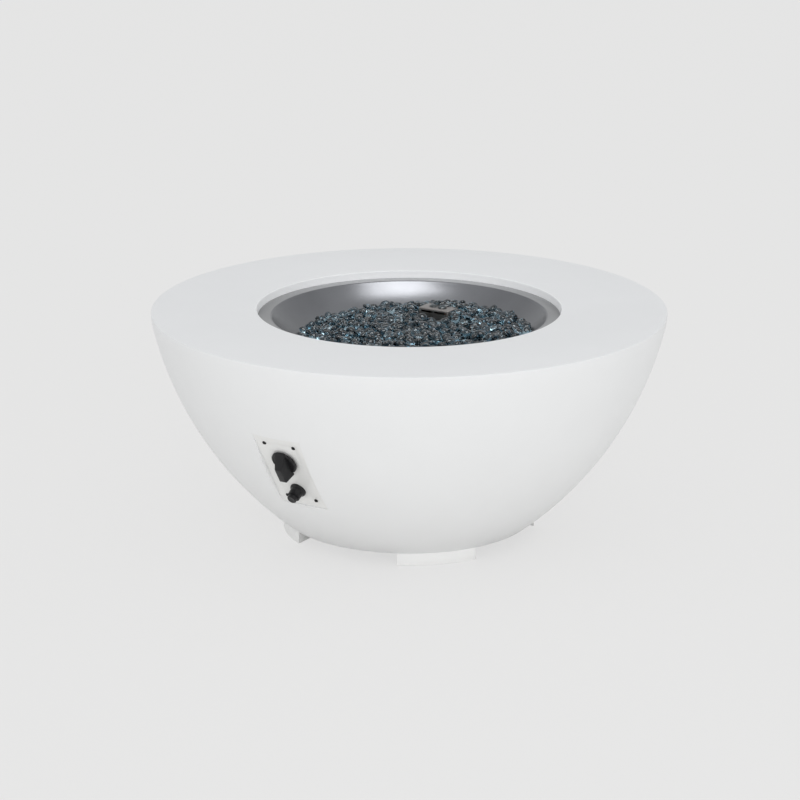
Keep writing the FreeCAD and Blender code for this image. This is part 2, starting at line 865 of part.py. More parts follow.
def make_valve():
    """The brass valve: a chamber for the spring, a tapered seat for the plug, two side ports."""
    body = new_body("gas_valve_body")
    gas_end = valve_back + s.tube_wall * 2
    revolve(
        body,
        [
            (s.spring_chamber_radius, bonnet_back),
            (s.valve_radius, bonnet_back),
            (s.valve_radius, valve_back),
            (as_size(0), valve_back),
            (as_size(0), gas_end),
            (s.seat_back_radius, gas_end),
            (s.seat_back_radius, seat_back),
            (s.seat_front_radius, seat_front),
            (s.spring_chamber_radius, seat_front),
        ],
    )
    level = -s.valve_boss_back
    root_reach = s.valve_radius - s.valve_boss_root
    for side in (-1, 1):
        boss = new_sketch(body, "YZ_Plane", lift=side * root_reach)
        draw_hexagon(boss, as_size(0), level, s.valve_boss_flats)
        pad(body, boss, s.valve_boss_length + s.valve_boss_root, downward=side < 0)
    seat_at_knob(body)


def make_plug():
    """The tapered plug: it turns in the seat, and the stem slides in its bore."""
    body = new_body("valve_plug")
    gap = s.plug_clearance
    foot = bonnet_back - s.stem_depth - s.push_travel
    revolve(
        body,
        [
            (s.stem_bore, seat_front),
            (s.seat_front_radius - gap, seat_front),
            (s.seat_back_radius - gap, seat_back),
            (as_size(0), seat_back),
            (as_size(0), foot),
            (s.stem_bore, foot),
        ],
    )
    seat_at_knob(body)


def make_stem():
    body = new_body("valve_stem")
    collar_top = bonnet_back - s.plate_gap / 2
    collar_low = collar_top - s.stem_collar_height
    socket_top = s.knob_gap + s.skirt_height + s.socket_height
    revolve(
        body,
        [
            (as_size(0), socket_top),
            (s.stem_radius, socket_top),
            (s.stem_radius, collar_top),
            (s.stem_collar_radius, collar_top),
            (s.stem_collar_radius, collar_low),
            (s.stem_radius, collar_low),
            (s.stem_radius, bonnet_back - s.stem_depth),
            (as_size(0), bonnet_back - s.stem_depth),
        ],
    )
    seat_at_knob(body)


def make_sleeve(label, outside, wire, high, low):
    """A coiled spring's outer form, as a plain sleeve."""
    body = new_body(label)
    sketch = new_sketch(body, lift=low)
    draw_circle(sketch, as_size(0), as_size(0), outside)
    draw_circle(sketch, as_size(0), as_size(0), outside - wire)
    pad(body, sketch, high - low)
    return body


def make_magnet():
    """The safety magnet's housing behind the valve, with the nut of the flame sensor's lead."""
    body = new_body("safety_magnet")
    low = valve_back - s.magnet_length
    nut_low = low - s.pilot_nut_height
    revolve(
        body,
        [
            (as_size(0), valve_back),
            (s.magnet_radius, valve_back),
            (s.magnet_radius, low),
            (s.magnet_radius * 0.6, low),
            (s.magnet_radius * 0.6, nut_low),
            (as_size(0), nut_low),
        ],
    )
    seat_at_knob(body)


def make_knob():
    """A push-and-turn knob: a hollow round skirt under a grip bar that points down the plate."""
    body = new_body("gas_knob")
    low = s.knob_gap
    skirt_top = low + s.skirt_height
    hollow = low + s.skirt_hollow_depth
    bore = s.stem_radius + s.screw_clearance / 4
    hollow_reach = s.skirt_radius - s.skirt_wall
    revolve(
        body,
        [
            (bore, hollow),
            (hollow_reach, hollow),
            (hollow_reach, low),
            (s.skirt_radius, low),
            (s.skirt_radius, skirt_top - s.skirt_bevel),
            (s.skirt_radius - s.skirt_bevel, skirt_top),
            (bore, skirt_top),
        ],
    )
    # the bar's nose stands upright past the skirt, its sides draw in upwards, and behind its
    # crest it slopes down to the skirt
    crown = skirt_top + s.grip_height
    bar = body.newObject("PartDesign::AdditiveWedge", "grip_bar")
    # the wedge runs from its foot to its crown along its own Y axis, with its nose at +Z
    bar.Placement = FreeCAD.Placement(Vector(0, 0, 0), FreeCAD.Rotation(Vector(1, 0, 0), 90))
    for prop, size in (
        ("Xmin", -s.grip_foot_width / 2),
        ("Xmax", s.grip_foot_width / 2),
        ("X2min", -s.grip_width / 2),
        ("X2max", s.grip_width / 2),
        ("Ymin", skirt_top - s.skirt_bevel),
        ("Ymax", crown),
        ("Zmin", -s.grip_heel),
        ("Zmax", s.grip_nose),
        ("Z2min", -s.grip_crest),
        ("Z2max", s.grip_nose),
    ):
        bind(bar, prop, size)
    nose = new_sketch(body, lift=low)
    step = s.skirt_radius - 0.8 * s.skirt_wall
    middle = -(s.grip_nose + step) / 2
    draw_rectangle(nose, as_size(0), middle, s.grip_foot_width, s.grip_nose - step)
    pad(body, nose, s.skirt_height - s.skirt_bevel)
    socket = new_sketch(body, lift=hollow)
    draw_circle(socket, as_size(0), as_size(0), bore)
    pocket(body, socket, skirt_top + s.socket_height + s.screw_clearance - hollow, upward=True)
    bevel_edges(body, is_flat_at(crown), s.grip_bevel)
    seat_at_knob(body)


def make_igniter():
    """The igniter's moulded housing, from its flange to the barrel that holds the cell."""
    body = new_body("igniter_housing")
    back = -s.igniter_barrel_length
    inside = s.igniter_barrel_radius - s.igniter_wall
    mouth = s.button_radius + s.button_clearance
    step = s.button_height - s.button_length - s.button_travel - s.button_clearance
    revolve(
        body,
        [
            (mouth, s.igniter_body_height),
            (s.igniter_body_radius, s.igniter_body_height),
            (s.igniter_body_radius, s.igniter_flange_height),
            (s.igniter_flange_radius, s.igniter_flange_height),
            (s.igniter_flange_radius, as_size(0)),
            (s.igniter_barrel_radius, as_size(0)),
            (s.igniter_barrel_radius, back),
            (as_size(0), back),
            (as_size(0), back + s.igniter_wall),
            (inside, back + s.igniter_wall),
            (inside, step),
            (mouth, step),
        ],
    )
    seat_at_igniter(body)


def make_igniter_nut():
    body = new_body("igniter_nut")
    sketch = new_sketch(body, lift=-s.plate_thickness - s.igniter_nut_height)
    draw_hexagon(sketch, as_size(0), as_size(0), s.igniter_nut_flats)
    draw_circle(sketch, as_size(0), as_size(0), s.igniter_barrel_radius + s.screw_clearance / 2)
    pad(body, sketch, s.igniter_nut_height)
    seat_at_igniter(body)


def make_button():
    body = new_body("igniter_button")
    low = s.button_height - s.button_length
    hollow = low + s.button_length / 2
    revolve(
        body,
        [
            (as_size(0), s.button_height),
            (s.button_radius - s.button_bevel, s.button_height),
            (s.button_radius, s.button_height - s.button_bevel),
            (s.button_radius, low),
            (s.button_radius - s.igniter_wall, low),
            (s.button_radius - s.igniter_wall, hollow),
            (as_size(0), hollow),
        ],
    )
    seat_at_igniter(body)


battery_low = -s.igniter_barrel_length + s.igniter_wall
battery_top = battery_low + s.battery_length


def make_battery():
    body = new_body("igniter_battery")
    revolve(
        body,
        [
            (as_size(0), battery_top + s.battery_nub_length),
            (s.battery_nub_radius, battery_top + s.battery_nub_length),
            (s.battery_nub_radius, battery_top),
            (s.battery_radius, battery_top),
            (s.battery_radius, battery_low),
            (as_size(0), battery_low),
        ],
    )
    seat_at_igniter(body)


# Gas supply


def make_inlet():
    """The inlet fitting hangs in a bracket beside the access opening, its flare pointing down."""
    fitting = new_body("gas_inlet_fitting")
    y = -s.inlet_reach
    flare = new_sketch(fitting, lift=s.inlet_height - s.flare_length)
    draw_circle(flare, as_size(0), y, s.flare_radius)
    draw_circle(flare, as_size(0), y, s.supply_tube_radius - s.tube_wall)
    pad(fitting, flare, s.flare_length)
    nut = new_sketch(fitting, lift=s.inlet_height + s.inlet_bracket_sheet)
    draw_hexagon(nut, as_size(0), y, s.inlet_hex_flats)
    draw_circle(nut, as_size(0), y, s.supply_tube_radius - s.tube_wall)
    pad(fitting, nut, s.inlet_hex_height)
    neck = new_sketch(fitting, lift=s.inlet_height)
    draw_circle(neck, as_size(0), y, s.flare_radius - s.neck_relief)
    draw_circle(neck, as_size(0), y, s.supply_tube_radius - s.tube_wall)
    pad(fitting, neck, s.inlet_bracket_sheet)

    bracket = new_body("inlet_bracket")
    near = s.inlet_reach - s.inlet_bracket_width / 2
    heel = s.access_radius + s.inlet_bracket_width / 2
    toe = heel + s.inlet_bracket_width
    high = s.inlet_height + s.inlet_bracket_sheet
    side = new_sketch(bracket, "YZ_Plane")
    draw(
        side,
        [
            (-near, high),
            (-near, s.inlet_height),
            (-heel, s.inlet_height),
            (-heel, floor_top),
            (-toe, floor_top),
            (-toe, floor_top + s.inlet_bracket_sheet),
            (-heel - s.inlet_bracket_sheet, floor_top + s.inlet_bracket_sheet),
            (-heel - s.inlet_bracket_sheet, high),
        ],
    )
    plate = bracket.newObject("PartDesign::Pad", "bracket_pad")
    plate.Profile = side
    plate.Midplane = True
    bind(plate, "Length", s.inlet_bracket_width)
    hole = new_sketch(bracket, lift=high)
    draw_circle(hole, as_size(0), y, s.flare_radius + s.screw_clearance)
    pocket(bracket, hole, s.inlet_bracket_sheet)


# how much of a run's length the arc at its end takes
ROUND_SHARE = 0.45


def tube_along(label, points, radius, sides):
    """A tube of so many sides on straight runs joined by arcs, each as large as its two runs allow."""
    points = [Vector(*p) for p in points]
    edges = []
    radii = []
    start = points[0]
    length = 0.0
    for before, corner, after in zip(points, points[1:], points[2:]):
        into = (corner - before).normalize()
        out = (after - corner).normalize()
        turn = into.getAngle(out)
        cut = ROUND_SHARE * min((corner - before).Length, (after - corner).Length)
        bend = cut / math.tan(turn / 2)
        radii.append(round(bend, 1))
        first = corner - into * cut
        last = corner + out * cut
        inward = (out - into).normalize()
        middle = corner + inward * (bend / math.cos(turn / 2) - bend)
        edges.append(Part.LineSegment(start, first).toShape())
        edges.append(Part.Arc(first, middle, last).toShape())
        length += (first - start).Length + bend * turn
        start = last
    edges.append(Part.LineSegment(start, points[-1]).toShape())
    length += (points[-1] - start).Length
    spine = Part.Wire(edges)
    heading = (points[1] - points[0]).normalize()
    across = heading.cross(Vector(0, 0, 1)).normalize()
    up = across.cross(heading)
    angles = [2 * math.pi * i / sides for i in range(sides + 1)]
    outline = Part.makePolygon(
        [points[0] + (across * math.cos(a) + up * math.sin(a)) * radius for a in angles]
    )
    solid = spine.makePipeShell([outline], True, False)
    section = sides / 2 * radius**2 * math.sin(2 * math.pi / sides)
    print(
        label, "bend radii", radii, "volume over section x length",
        round(solid.Volume / (section * length), 4),
    )
    tube = doc.addObject("Part::Feature", label)
    tube.Label = label
    tube.Shape = solid
    parts.append(tube)


def between(start, end, share):
    """A number part of the way from one to another."""
    return start + (end - start) * share


def make_lines():
    """The supply tube, the flexible connector and the two leads, along their clipped routes."""
    knob_up = s.knob_above.value
    boss = -s.valve_boss_back.value
    reach = s.valve_radius.value + s.valve_boss_length.value
    inlet_y = -s.inlet_reach.value
    inlet_top = (s.inlet_height + s.inlet_bracket_sheet + s.inlet_hex_height).value
    start_x, start_y, start_z = on_plate(-reach, knob_up, boss)
    tube_along(
        "supply_tube",
        [
            (start_x, start_y, start_z),
            (start_x - 50, start_y, start_z),
            (start_x - 70, start_y + 55, start_z - 70),
            (start_x - 40, start_y + 140, start_z - 130),
            (0, inlet_y, inlet_top + 60),
            (0, inlet_y, inlet_top),
        ],
        s.supply_tube_radius.value,
        sides=8,
    )
    start_x, start_y, start_z = on_plate(reach, knob_up, boss)
    orifice_low = (pan_under - s.locknut_height - s.mixer_length - s.orifice_height).value
    tube_along(
        "flex_connector",
        [
            (start_x, start_y, start_z),
            (start_x + 70, start_y, start_z),
            (start_x + 120, start_y + 90, start_z - 60),
            (start_x + 70, start_y + 220, orifice_low - 110),
            (start_x, start_y + 310, orifice_low - 135),
            (0, 0, orifice_low - 95),
            (0, 0, orifice_low),
        ],
        s.flex_radius.value,
        sides=8,
    )
    # each lead leaves straight, hangs across the cavity and turns up into the pan
    pilot_x = s.pilot_spacing.value
    pilot_y = (s.hood_reach + s.hood_depth / 2).value
    near_pilot = pilot_y - 60
    pilot_low = (pan_under - s.pilot_nut_height).value
    lead_from = -s.igniter_barrel_length.value
    start = on_plate(0, -s.igniter_below.value, lead_from)
    behind = on_plate(0, -s.igniter_below.value, lead_from - 40)
    tube_along(
        "ignition_lead",
        [
            start,
            behind,
            (-70, between(behind[1], near_pilot, 0.15), between(behind[2], pilot_low, 0.2)),
            (-95, between(behind[1], near_pilot, 0.38), between(behind[2], pilot_low, 0.39)),
            (-80, between(behind[1], near_pilot, 0.62), between(behind[2], pilot_low, 0.49)),
            (-45, near_pilot, pilot_low - 70),
            (-pilot_x, pilot_y, pilot_low - 50),
            (-pilot_x, pilot_y, pilot_low),
        ],
        s.ignition_lead_radius.value,
        sides=6,
    )
    lead_from = (valve_back - s.magnet_length - s.pilot_nut_height).value
    start = on_plate(0, knob_up, lead_from)
    behind = on_plate(0, knob_up, lead_from - 30)
    tube_along(
        "sensor_lead",
        [
            start,
            behind,
            (30, between(behind[1], near_pilot, 0.15), between(behind[2], pilot_low, 0.33)),
            (60, between(behind[1], near_pilot, 0.38), between(behind[2], pilot_low, 0.3)),
            (62, between(behind[1], near_pilot, 0.63), between(behind[2], pilot_low, 0.15)),
            (45, near_pilot, pilot_low - 45),
            (pilot_x, pilot_y, pilot_low - 40),
            (pilot_x, pilot_y, pilot_low),
        ],
        s.sensor_lead_radius.value,
        sides=6,
    )


def check_and_write():
    """Stop on any failed feature, then write each piece to its own file."""
    doc.recompute()
    failed = [
        thing.Name
        for thing in doc.Objects
        if any(word in thing.State for word in ("Invalid", "Error"))
    ]
    if failed:
        raise RuntimeError(f"failed features: {failed}")
    for part in parts:
        if part.Shape.isNull() or not part.Shape.isValid() or part.Shape.Volume <= 0:
            raise RuntimeError(f"{part.Label} has no valid solid")
    os.makedirs("parts", exist_ok=True)
    for part in parts:
        part.Shape.exportStep(os.path.join("parts", part.Label + ".step"))
    print(len(parts), "pieces written")


make_bowl()
for foot_label, foot_turns in (
    ("foot_rear_right", 0),
    ("foot_rear_left", 1),
    ("foot_front_left", 2),
    ("foot_front_right", 3),
):
    make_foot(foot_label, foot_turns)
make_pan()
make_burner()
make_locknut()
make_mixer()
make_orifice()
make_glass()
make_hood()
make_pilot_bracket()
make_pilot_rods()
make_plate()
make_plate_screws()
make_bonnet()
make_valve()
make_plug()
make_stem()
knob_spring = make_sleeve(
    "knob_spring",
    s.stem_collar_radius,
    s.knob_spring_wire,
    bonnet_back - s.plate_gap / 2 - s.stem_collar_height,
    seat_front,
)
seat_at_knob(knob_spring)
make_magnet()
make_knob()
make_igniter()
make_igniter_nut()
make_button()
make_battery()
igniter_spring = make_sleeve(
    "igniter_spring",
    s.igniter_spring_radius,
    s.igniter_spring_wire,
    s.button_height - s.button_length / 2,
    battery_top + s.battery_nub_length,
)
seat_at_igniter(igniter_spring)
make_inlet()
make_lines()
check_and_write()
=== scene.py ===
import json
import logging
import math
from dataclasses import dataclass
from enum import Enum

import bmesh
import bpy
from mathutils import Matrix, Vector


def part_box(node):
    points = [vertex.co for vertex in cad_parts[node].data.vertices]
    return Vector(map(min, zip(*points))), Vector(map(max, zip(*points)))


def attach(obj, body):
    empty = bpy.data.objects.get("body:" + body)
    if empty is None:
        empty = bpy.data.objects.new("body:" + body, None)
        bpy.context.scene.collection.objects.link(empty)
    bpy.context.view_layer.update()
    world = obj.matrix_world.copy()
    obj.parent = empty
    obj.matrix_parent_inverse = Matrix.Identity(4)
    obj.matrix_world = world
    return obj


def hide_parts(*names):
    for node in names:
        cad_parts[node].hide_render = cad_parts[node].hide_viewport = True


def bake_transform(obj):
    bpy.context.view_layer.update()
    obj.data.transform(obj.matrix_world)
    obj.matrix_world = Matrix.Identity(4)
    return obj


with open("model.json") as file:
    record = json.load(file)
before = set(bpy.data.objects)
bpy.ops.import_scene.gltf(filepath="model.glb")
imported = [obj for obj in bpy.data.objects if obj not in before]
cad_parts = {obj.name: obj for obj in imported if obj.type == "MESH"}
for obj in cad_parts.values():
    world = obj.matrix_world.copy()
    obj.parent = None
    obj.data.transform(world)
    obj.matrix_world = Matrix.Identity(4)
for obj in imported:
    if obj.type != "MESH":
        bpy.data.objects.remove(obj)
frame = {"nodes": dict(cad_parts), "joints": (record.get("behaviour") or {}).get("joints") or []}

# A floor-standing gas fire bowl: white cast concrete, a sunken steel pan full of glass beads,
# and a tilted control plate. Metres, in the frame's own axes: the plate faces -Y.

MM = 0.001
ROOT = "root"
Colour = tuple[float, float, float]
Point = tuple[float, float]

# corners this near, in metres, become one in a turned shape and in a packed one
TURNED_MERGE = 1e-7
PACKED_MERGE = 1e-6
# packed faces within this angle, in degrees, become one
FLAT_ANGLE = 0.5

logging.basicConfig(level=logging.INFO, format="%(name)s: %(message)s")
log = logging.getLogger("fire_bowl")


# Mesh making


@dataclass(frozen=True)
class Corner:
    """A corner of an outline, in millimetres, rounded off by a radius."""

    x: float
    y: float
    radius: float = 0.0


def rounded(corners: list[Corner], steps: int = 5) -> list[Point]:
    """Round an outline's corners.

    Args:
        corners: the corners in order round a closed outline.
        steps: how many straight bits make each round corner.

    Returns:
        The outline's points in millimetres.
    """
    points = []
    for i, corner in enumerate(corners):
        here = Vector((corner.x, corner.y))
        if corner.radius <= 0:
            points.append(tuple(here))
            continue
        before = Vector((corners[i - 1].x, corners[i - 1].y)) - here
        following = corners[(i + 1) % len(corners)]
        after = Vector((following.x, following.y)) - here
        half = before.angle(after) / 2
        reach = min(corner.radius / math.tan(half), 0.49 * before.length, 0.49 * after.length)
        radius = reach * math.tan(half)
        middle = (before.normalized() + after.normalized()).normalized()
        centre = here + middle * (radius / math.sin(half))
        start = here + before.normalized() * reach - centre
        end = here + after.normalized() * reach - centre
        turn = start.angle_signed(end)
        for k in range(steps + 1):
            spoke = start.copy()
            spoke.rotate(Matrix.Rotation(-turn * k / steps, 2))
            points.append(tuple(centre + spoke))
    return points


def finished(shape: bmesh.types.BMesh, name: str) -> bpy.types.Mesh:
    """Make a working shape a mesh of its own."""
    mesh = bpy.data.meshes.new(name)
    shape.to_mesh(mesh)
    shape.free()
    return mesh


def turned(name: str, outline: list[Point], sides: int) -> bpy.types.Mesh:
    """Turn a closed outline about the Z axis.

    Args:
        name: the mesh's name.
        outline: (radius, height) points in millimetres, in order round the section.
        sides: how many steps the turn is cut into.

    Returns:
        A closed mesh in metres.
    """
    shape = bmesh.new()
    rings = []
    for radius, height in outline:
        if radius < 1e-6:
            rings.append([shape.verts.new((0, 0, height * MM))])
            continue
        ring = []
        for k in range(sides):
            angle = 2 * math.pi * k / sides
            ring.append(
                shape.verts.new(
                    (radius * math.cos(angle) * MM, radius * math.sin(angle) * MM, height * MM)
                )
            )
        rings.append(ring)
    for ring, following in zip(rings, rings[1:] + rings[:1]):
        if len(ring) == 1 and len(following) == 1:
            continue
        for k in range(sides):
            n = (k + 1) % sides
            corners = [ring[k % len(ring)], ring[n % len(ring)]]
            corners += [following[n % len(following)], following[k % len(following)]]
            corners = list(dict.fromkeys(corners))
            if len(corners) > 2:
                shape.faces.new(corners)
    bmesh.ops.remove_doubles(shape, verts=shape.verts, dist=TURNED_MERGE)
    bmesh.ops.recalc_face_normals(shape, faces=shape.faces)
    return finished(shape, name)


def prism(
    name: str, outline: list[Point], low: float, high: float
) -> bpy.types.Mesh:
    """Raise a closed outline into a solid.

    Args:
        name: the mesh's name.
        outline: (x, y) points in millimetres.
        low: the bottom's height in millimetres.
        high: the top's height in millimetres.

    Returns:
        A closed mesh in metres.
    """
    shape = bmesh.new()
    bottom = [shape.verts.new((x * MM, y * MM, low * MM)) for x, y in outline]
    lid = [shape.verts.new((x * MM, y * MM, high * MM)) for x, y in outline]
    shape.faces.new(bottom)
    shape.faces.new(lid)
    for k in range(len(outline)):
        n = (k + 1) % len(outline)
        shape.faces.new((bottom[k], bottom[n], lid[n], lid[k]))
    bmesh.ops.recalc_face_normals(shape, faces=shape.faces)
    return finished(shape, name)


def rectangle(width: float, height: float, x: float = 0.0, y: float = 0.0) -> list[Point]:
    """The four corners of a rectangle about (x, y), in millimetres."""
    left, right = x - width / 2, x + width / 2
    low, high = y - height / 2, y + height / 2
    return [(left, low), (right, low), (right, high), (left, high)]


def new_object(name: str, mesh: bpy.types.Mesh) -> bpy.types.Object:
    """Put a mesh in the scene as an object at the origin."""
    thing = bpy.data.objects.new(name, mesh)
    bpy.context.scene.collection.objects.link(thing)
    return thing


def settle(thing: bpy.types.Object) -> bpy.types.Object:
    """Work an object's modifiers into its own mesh and drop them."""
    bpy.context.view_layer.update()
    graph = bpy.context.evaluated_depsgraph_get()
    made = bpy.data.meshes.new_from_object(thing.evaluated_get(graph))
    old = thing.data
    thing.modifiers.clear()
    thing.data = made
    made.name = thing.name
    if old.users == 0:
        bpy.data.meshes.remove(old)
    return thing


def cut(thing: bpy.types.Object, tool: bpy.types.Mesh) -> bpy.types.Object:
    """Cut a tool's shape out of an object."""
    knife = new_object("knife", tool)
    change = thing.modifiers.new("cut", "BOOLEAN")
    change.operation = "DIFFERENCE"
    change.solver = "EXACT"
    change.object = knife
    settle(thing)
    bpy.data.objects.remove(knife)
    bpy.data.meshes.remove(tool)
    return thing


def soften(thing: bpy.types.Object, width: float, steps: int = 2, angle: float = 30) -> None:
    """Bevel an object's sharp edges.

    Args:
        thing: the object.
        width: the bevel's width in millimetres.
        steps: how many faces each bevel has.
        angle: edges that turn by more than this, in degrees, are bevelled.
    """
    bevel = thing.modifiers.new("edges", "BEVEL")
    bevel.width = width * MM
    bevel.segments = steps
    bevel.limit_method = "ANGLE"
    bevel.angle_limit = math.radians(angle)
    bevel.harden_normals = False
    settle(thing)


def shade(thing: bpy.types.Object, angle: float = 35) -> None:
    """Smooth an object, but for the edges that turn by more than an angle in degrees."""
    thing.data.shade_smooth()
    thing.data.set_sharp_from_angle(angle=math.radians(angle))


def merged_copy(name: str, node: str) -> bpy.types.Object:
    """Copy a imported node's mesh, with its loose triangles merged into flat faces."""
    mesh = frame["nodes"][node].data.copy()
    mesh.name = name
    mesh.materials.clear()
    shape = bmesh.new()
    shape.from_mesh(mesh)
    bmesh.ops.remove_doubles(shape, verts=shape.verts, dist=PACKED_MERGE)
    bmesh.ops.dissolve_limit(
        shape,
        angle_limit=math.radians(FLAT_ANGLE),
        use_dissolve_boundaries=False,
        verts=shape.verts,
        edges=shape.edges,
    )
    shape.to_mesh(mesh)
    shape.free()
    if "custom_normal" in mesh.attributes:
        mesh.attributes.remove(mesh.attributes["custom_normal"])
    return new_object(name, mesh)


@dataclass(frozen=True)
class Seat:
    """A place on the control plate: where it is, and which way the plate's sides run."""

    origin: Vector
    outward: Vector

    @property
    def across(self) -> Vector:
        """The plate's own left-to-right direction."""
        return Vector((1, 0, 0))

    @property
    def up(self) -> Vector:
        """The plate's own upward direction."""
        return self.outward.cross(self.across).normalized()

    def matrix(self) -> Matrix:
        """The turn and move that take a shape from its own axes to this seat."""
        turn = Matrix((self.across, self.up, self.outward)).transposed().to_4x4()
        return Matrix.Translation(self.origin) @ turn

    def moved(self, across: float, up: float, out: float = 0.0) -> "Seat":
        """A seat beside this one, in millimetres along the plate's directions."""
        step = self.across * across + self.up * up + self.outward * out
        return Seat(self.origin + step * MM, self.outward)


def seat_mesh(thing: bpy.types.Object, seat: Seat) -> bpy.types.Object:
    """Move an object's mesh to a seat, with the object left at the origin."""
    thing.data.transform(seat.matrix())
    return thing


def fit(
    thing: bpy.types.Object,
    material: bpy.types.Material,
    body: str = ROOT,
    replaces: tuple[str, ...] = (),
) -> bpy.types.Object:
    """Dress a finished piece and hang it on its body.

    Args:
        thing: the piece.
        material: what it is made of.
        body: the body that it rides on.
        replaces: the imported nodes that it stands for.

    Returns:
        The piece.
    """
    thing.data.materials.clear()
    thing.data.materials.append(material)
    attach(thing, body)
    if replaces:
        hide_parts(*replaces)
    log.info("%s: %d faces on %s", thing.name, len(thing.data.polygons), body)
    return thing


def dress(nodes: tuple[str, ...], material: bpy.types.Material) -> None:
    """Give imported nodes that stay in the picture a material."""
    for name in nodes:
        node = frame["nodes"][name]
        node.data.materials.clear()
        node.data.materials.append(material)
        log.info("%s keeps its packed shape", name)


# Node building


# sockets of a Mix node that mixes colours
MIX_SHARE = 0
MIX_FIRST = 6
MIX_SECOND = 7
MIX_RESULT = 2


class Board:
    """A node tree that is being wired."""

    def __init__(self, tree: bpy.types.NodeTree) -> None:
        """Take the tree to wire."""
        self.tree = tree

    def add(self, kind: str, settings: dict | None = None, **inputs) -> bpy.types.Node:
        """Add a node.

        Args:
            kind: the node's type.
            settings: the node's own properties.
            inputs: values or output sockets for inputs, with _ for a space in a name.

        Returns:
            The new node.
        """
        node = self.tree.nodes.new(kind)
        for key, value in (settings or {}).items():
            setattr(node, key, value)
        for key, value in inputs.items():
            self.set(node, key.replace("_", " "), value)
        return node

    def set(self, node: bpy.types.Node, key: str | int, value: object) -> None:
        """Link or set one input of a node."""
        socket = node.inputs[key]
        if isinstance(value, bpy.types.NodeSocket):
            self.tree.links.new(value, socket)
        else:
            socket.default_value = value

    def math(self, operation: str, *values) -> bpy.types.NodeSocket:
        """A sum, product or other working of one to three values."""
        node = self.add("ShaderNodeMath", {"operation": operation})
        for i, value in enumerate(values):
            self.set(node, i, value)
        return node.outputs[0]

    def ramp(self, value: bpy.types.NodeSocket, low: object, high: object) -> bpy.types.NodeSocket:
        """Stretch a value so that low becomes 0 and high becomes 1."""
        node = self.add("ShaderNodeMapRange", {"clamp": True}, Value=value)
        self.set(node, "From Min", low)
        self.set(node, "From Max", high)
        return node.outputs["Result"]

    def blend(self, share: object, first: object, second: object) -> bpy.types.NodeSocket:
        """Mix two colours by a share."""
        node = self.add("ShaderNodeMix", {"data_type": "RGBA"})
        self.set(node, MIX_SHARE, share)
        self.set(node, MIX_FIRST, first)
        self.set(node, MIX_SECOND, second)
        return node.outputs[MIX_RESULT]


def rgba(colour: Colour) -> tuple[float, float, float, float]:
    """A colour with full opacity."""
    return (*colour, 1.0)


def new_group(name: str, inputs: dict, outputs: dict) -> tuple[bpy.types.NodeTree, Board]:
    """Start a shader node group.

    Args:
        name: the group's name.
        inputs: input names and their default values.
        outputs: output names and their socket types.

    Returns:
        The tree and a board on it.
    """
    tree = bpy.data.node_groups.new(name, "ShaderNodeTree")
    for label, value in inputs.items():
        kind = "NodeSocketColor" if isinstance(value, tuple) else "NodeSocketFloat"
        socket = tree.interface.new_socket(label, in_out="INPUT", socket_type=kind)
        socket.default_value = value
    for label, kind in outputs.items():
        tree.interface.new_socket(label, in_out="OUTPUT", socket_type=kind)
    return tree, Board(tree)


def object_place(board: Board) -> bpy.types.NodeSocket:
    """The point on the piece, in its own coordinates."""
    return board.add("ShaderNodeTexCoord").outputs["Object"]


def from_axis(board: Board, place: bpy.types.NodeSocket) -> tuple:
    """A point's three coordinates, and its distance from the Z axis."""
    apart = board.add("ShaderNodeSeparateXYZ", Vector=place).outputs
    flat = board.add("ShaderNodeCombineXYZ", X=apart[0], Y=apart[1], Z=0.0).outputs[0]
    reach = board.add("ShaderNodeVectorMath", {"operation": "LENGTH"}, Vector=flat)
    return apart, reach.outputs["Value"]


def mottle_group() -> bpy.types.NodeTree:
    """Soft clouds of tone over a colour, with a fine grain for the bump."""
    tree, board = new_group(
        "mottle",
        {"Colour": (0.8, 0.8, 0.8, 1.0), "Tone": 0.1, "Cloud Scale": 6.0, "Grain Scale": 400.0},
        {"Colour": "NodeSocketColor", "Cloud": "NodeSocketFloat", "Grain": "NodeSocketFloat"},
    )
    given = board.add("NodeGroupInput").outputs
    place = object_place(board)
    cloud = board.add(
        "ShaderNodeTexNoise",
        Vector=place,
        Scale=given["Cloud Scale"],
        Detail=5.0,
        Roughness=0.6,
    ).outputs[0]
    grain = board.add(
        "ShaderNodeTexNoise", Vector=place, Scale=given["Grain Scale"], Detail=3.0
    ).outputs[0]
    spread = board.ramp(cloud, 0.3, 0.7)
    share = board.math("MULTIPLY", spread, given["Tone"])
    dark = board.add("ShaderNodeHueSaturation", Value=0.6, Color=given["Colour"]).outputs[0]
    out = board.add("NodeGroupOutput")
    board.set(out, "Colour", board.blend(share, given["Colour"], dark))
    board.set(out, "Cloud", spread)
    board.set(out, "Grain", grain)
    return tree


def pores_group() -> bpy.types.NodeTree:
    """Scattered pinholes: a mask that is 1 in a hole, and a height that dips there."""
    tree, board = new_group(
        "pores",
        {"Scale": 120.0, "Size": 0.12, "Share": 0.25},
        {"Mask": "NodeSocketFloat", "Height": "NodeSocketFloat"},
    )
    given = board.add("NodeGroupInput").outputs
    place = object_place(board)
    cells = board.add("ShaderNodeTexVoronoi", Vector=place, Scale=given["Scale"], Randomness=1.0)
    chosen = board.math("LESS_THAN", cells.outputs["Color"], given["Share"])
    edge = board.math("MULTIPLY", given["Size"], 0.5)
    near = board.ramp(cells.outputs["Distance"], given["Size"], edge)
    mask = board.math("MULTIPLY", near, chosen)
    out = board.add("NodeGroupOutput")
    board.set(out, "Mask", mask)
    board.set(out, "Height", board.math("SUBTRACT", 1.0, mask))
    return tree


class Run(Enum):
    """Which way the drawn lines of a metal run: the value of the group's Round input."""

    ALONG_X = 0.0
    ROUND_Z = 1.0


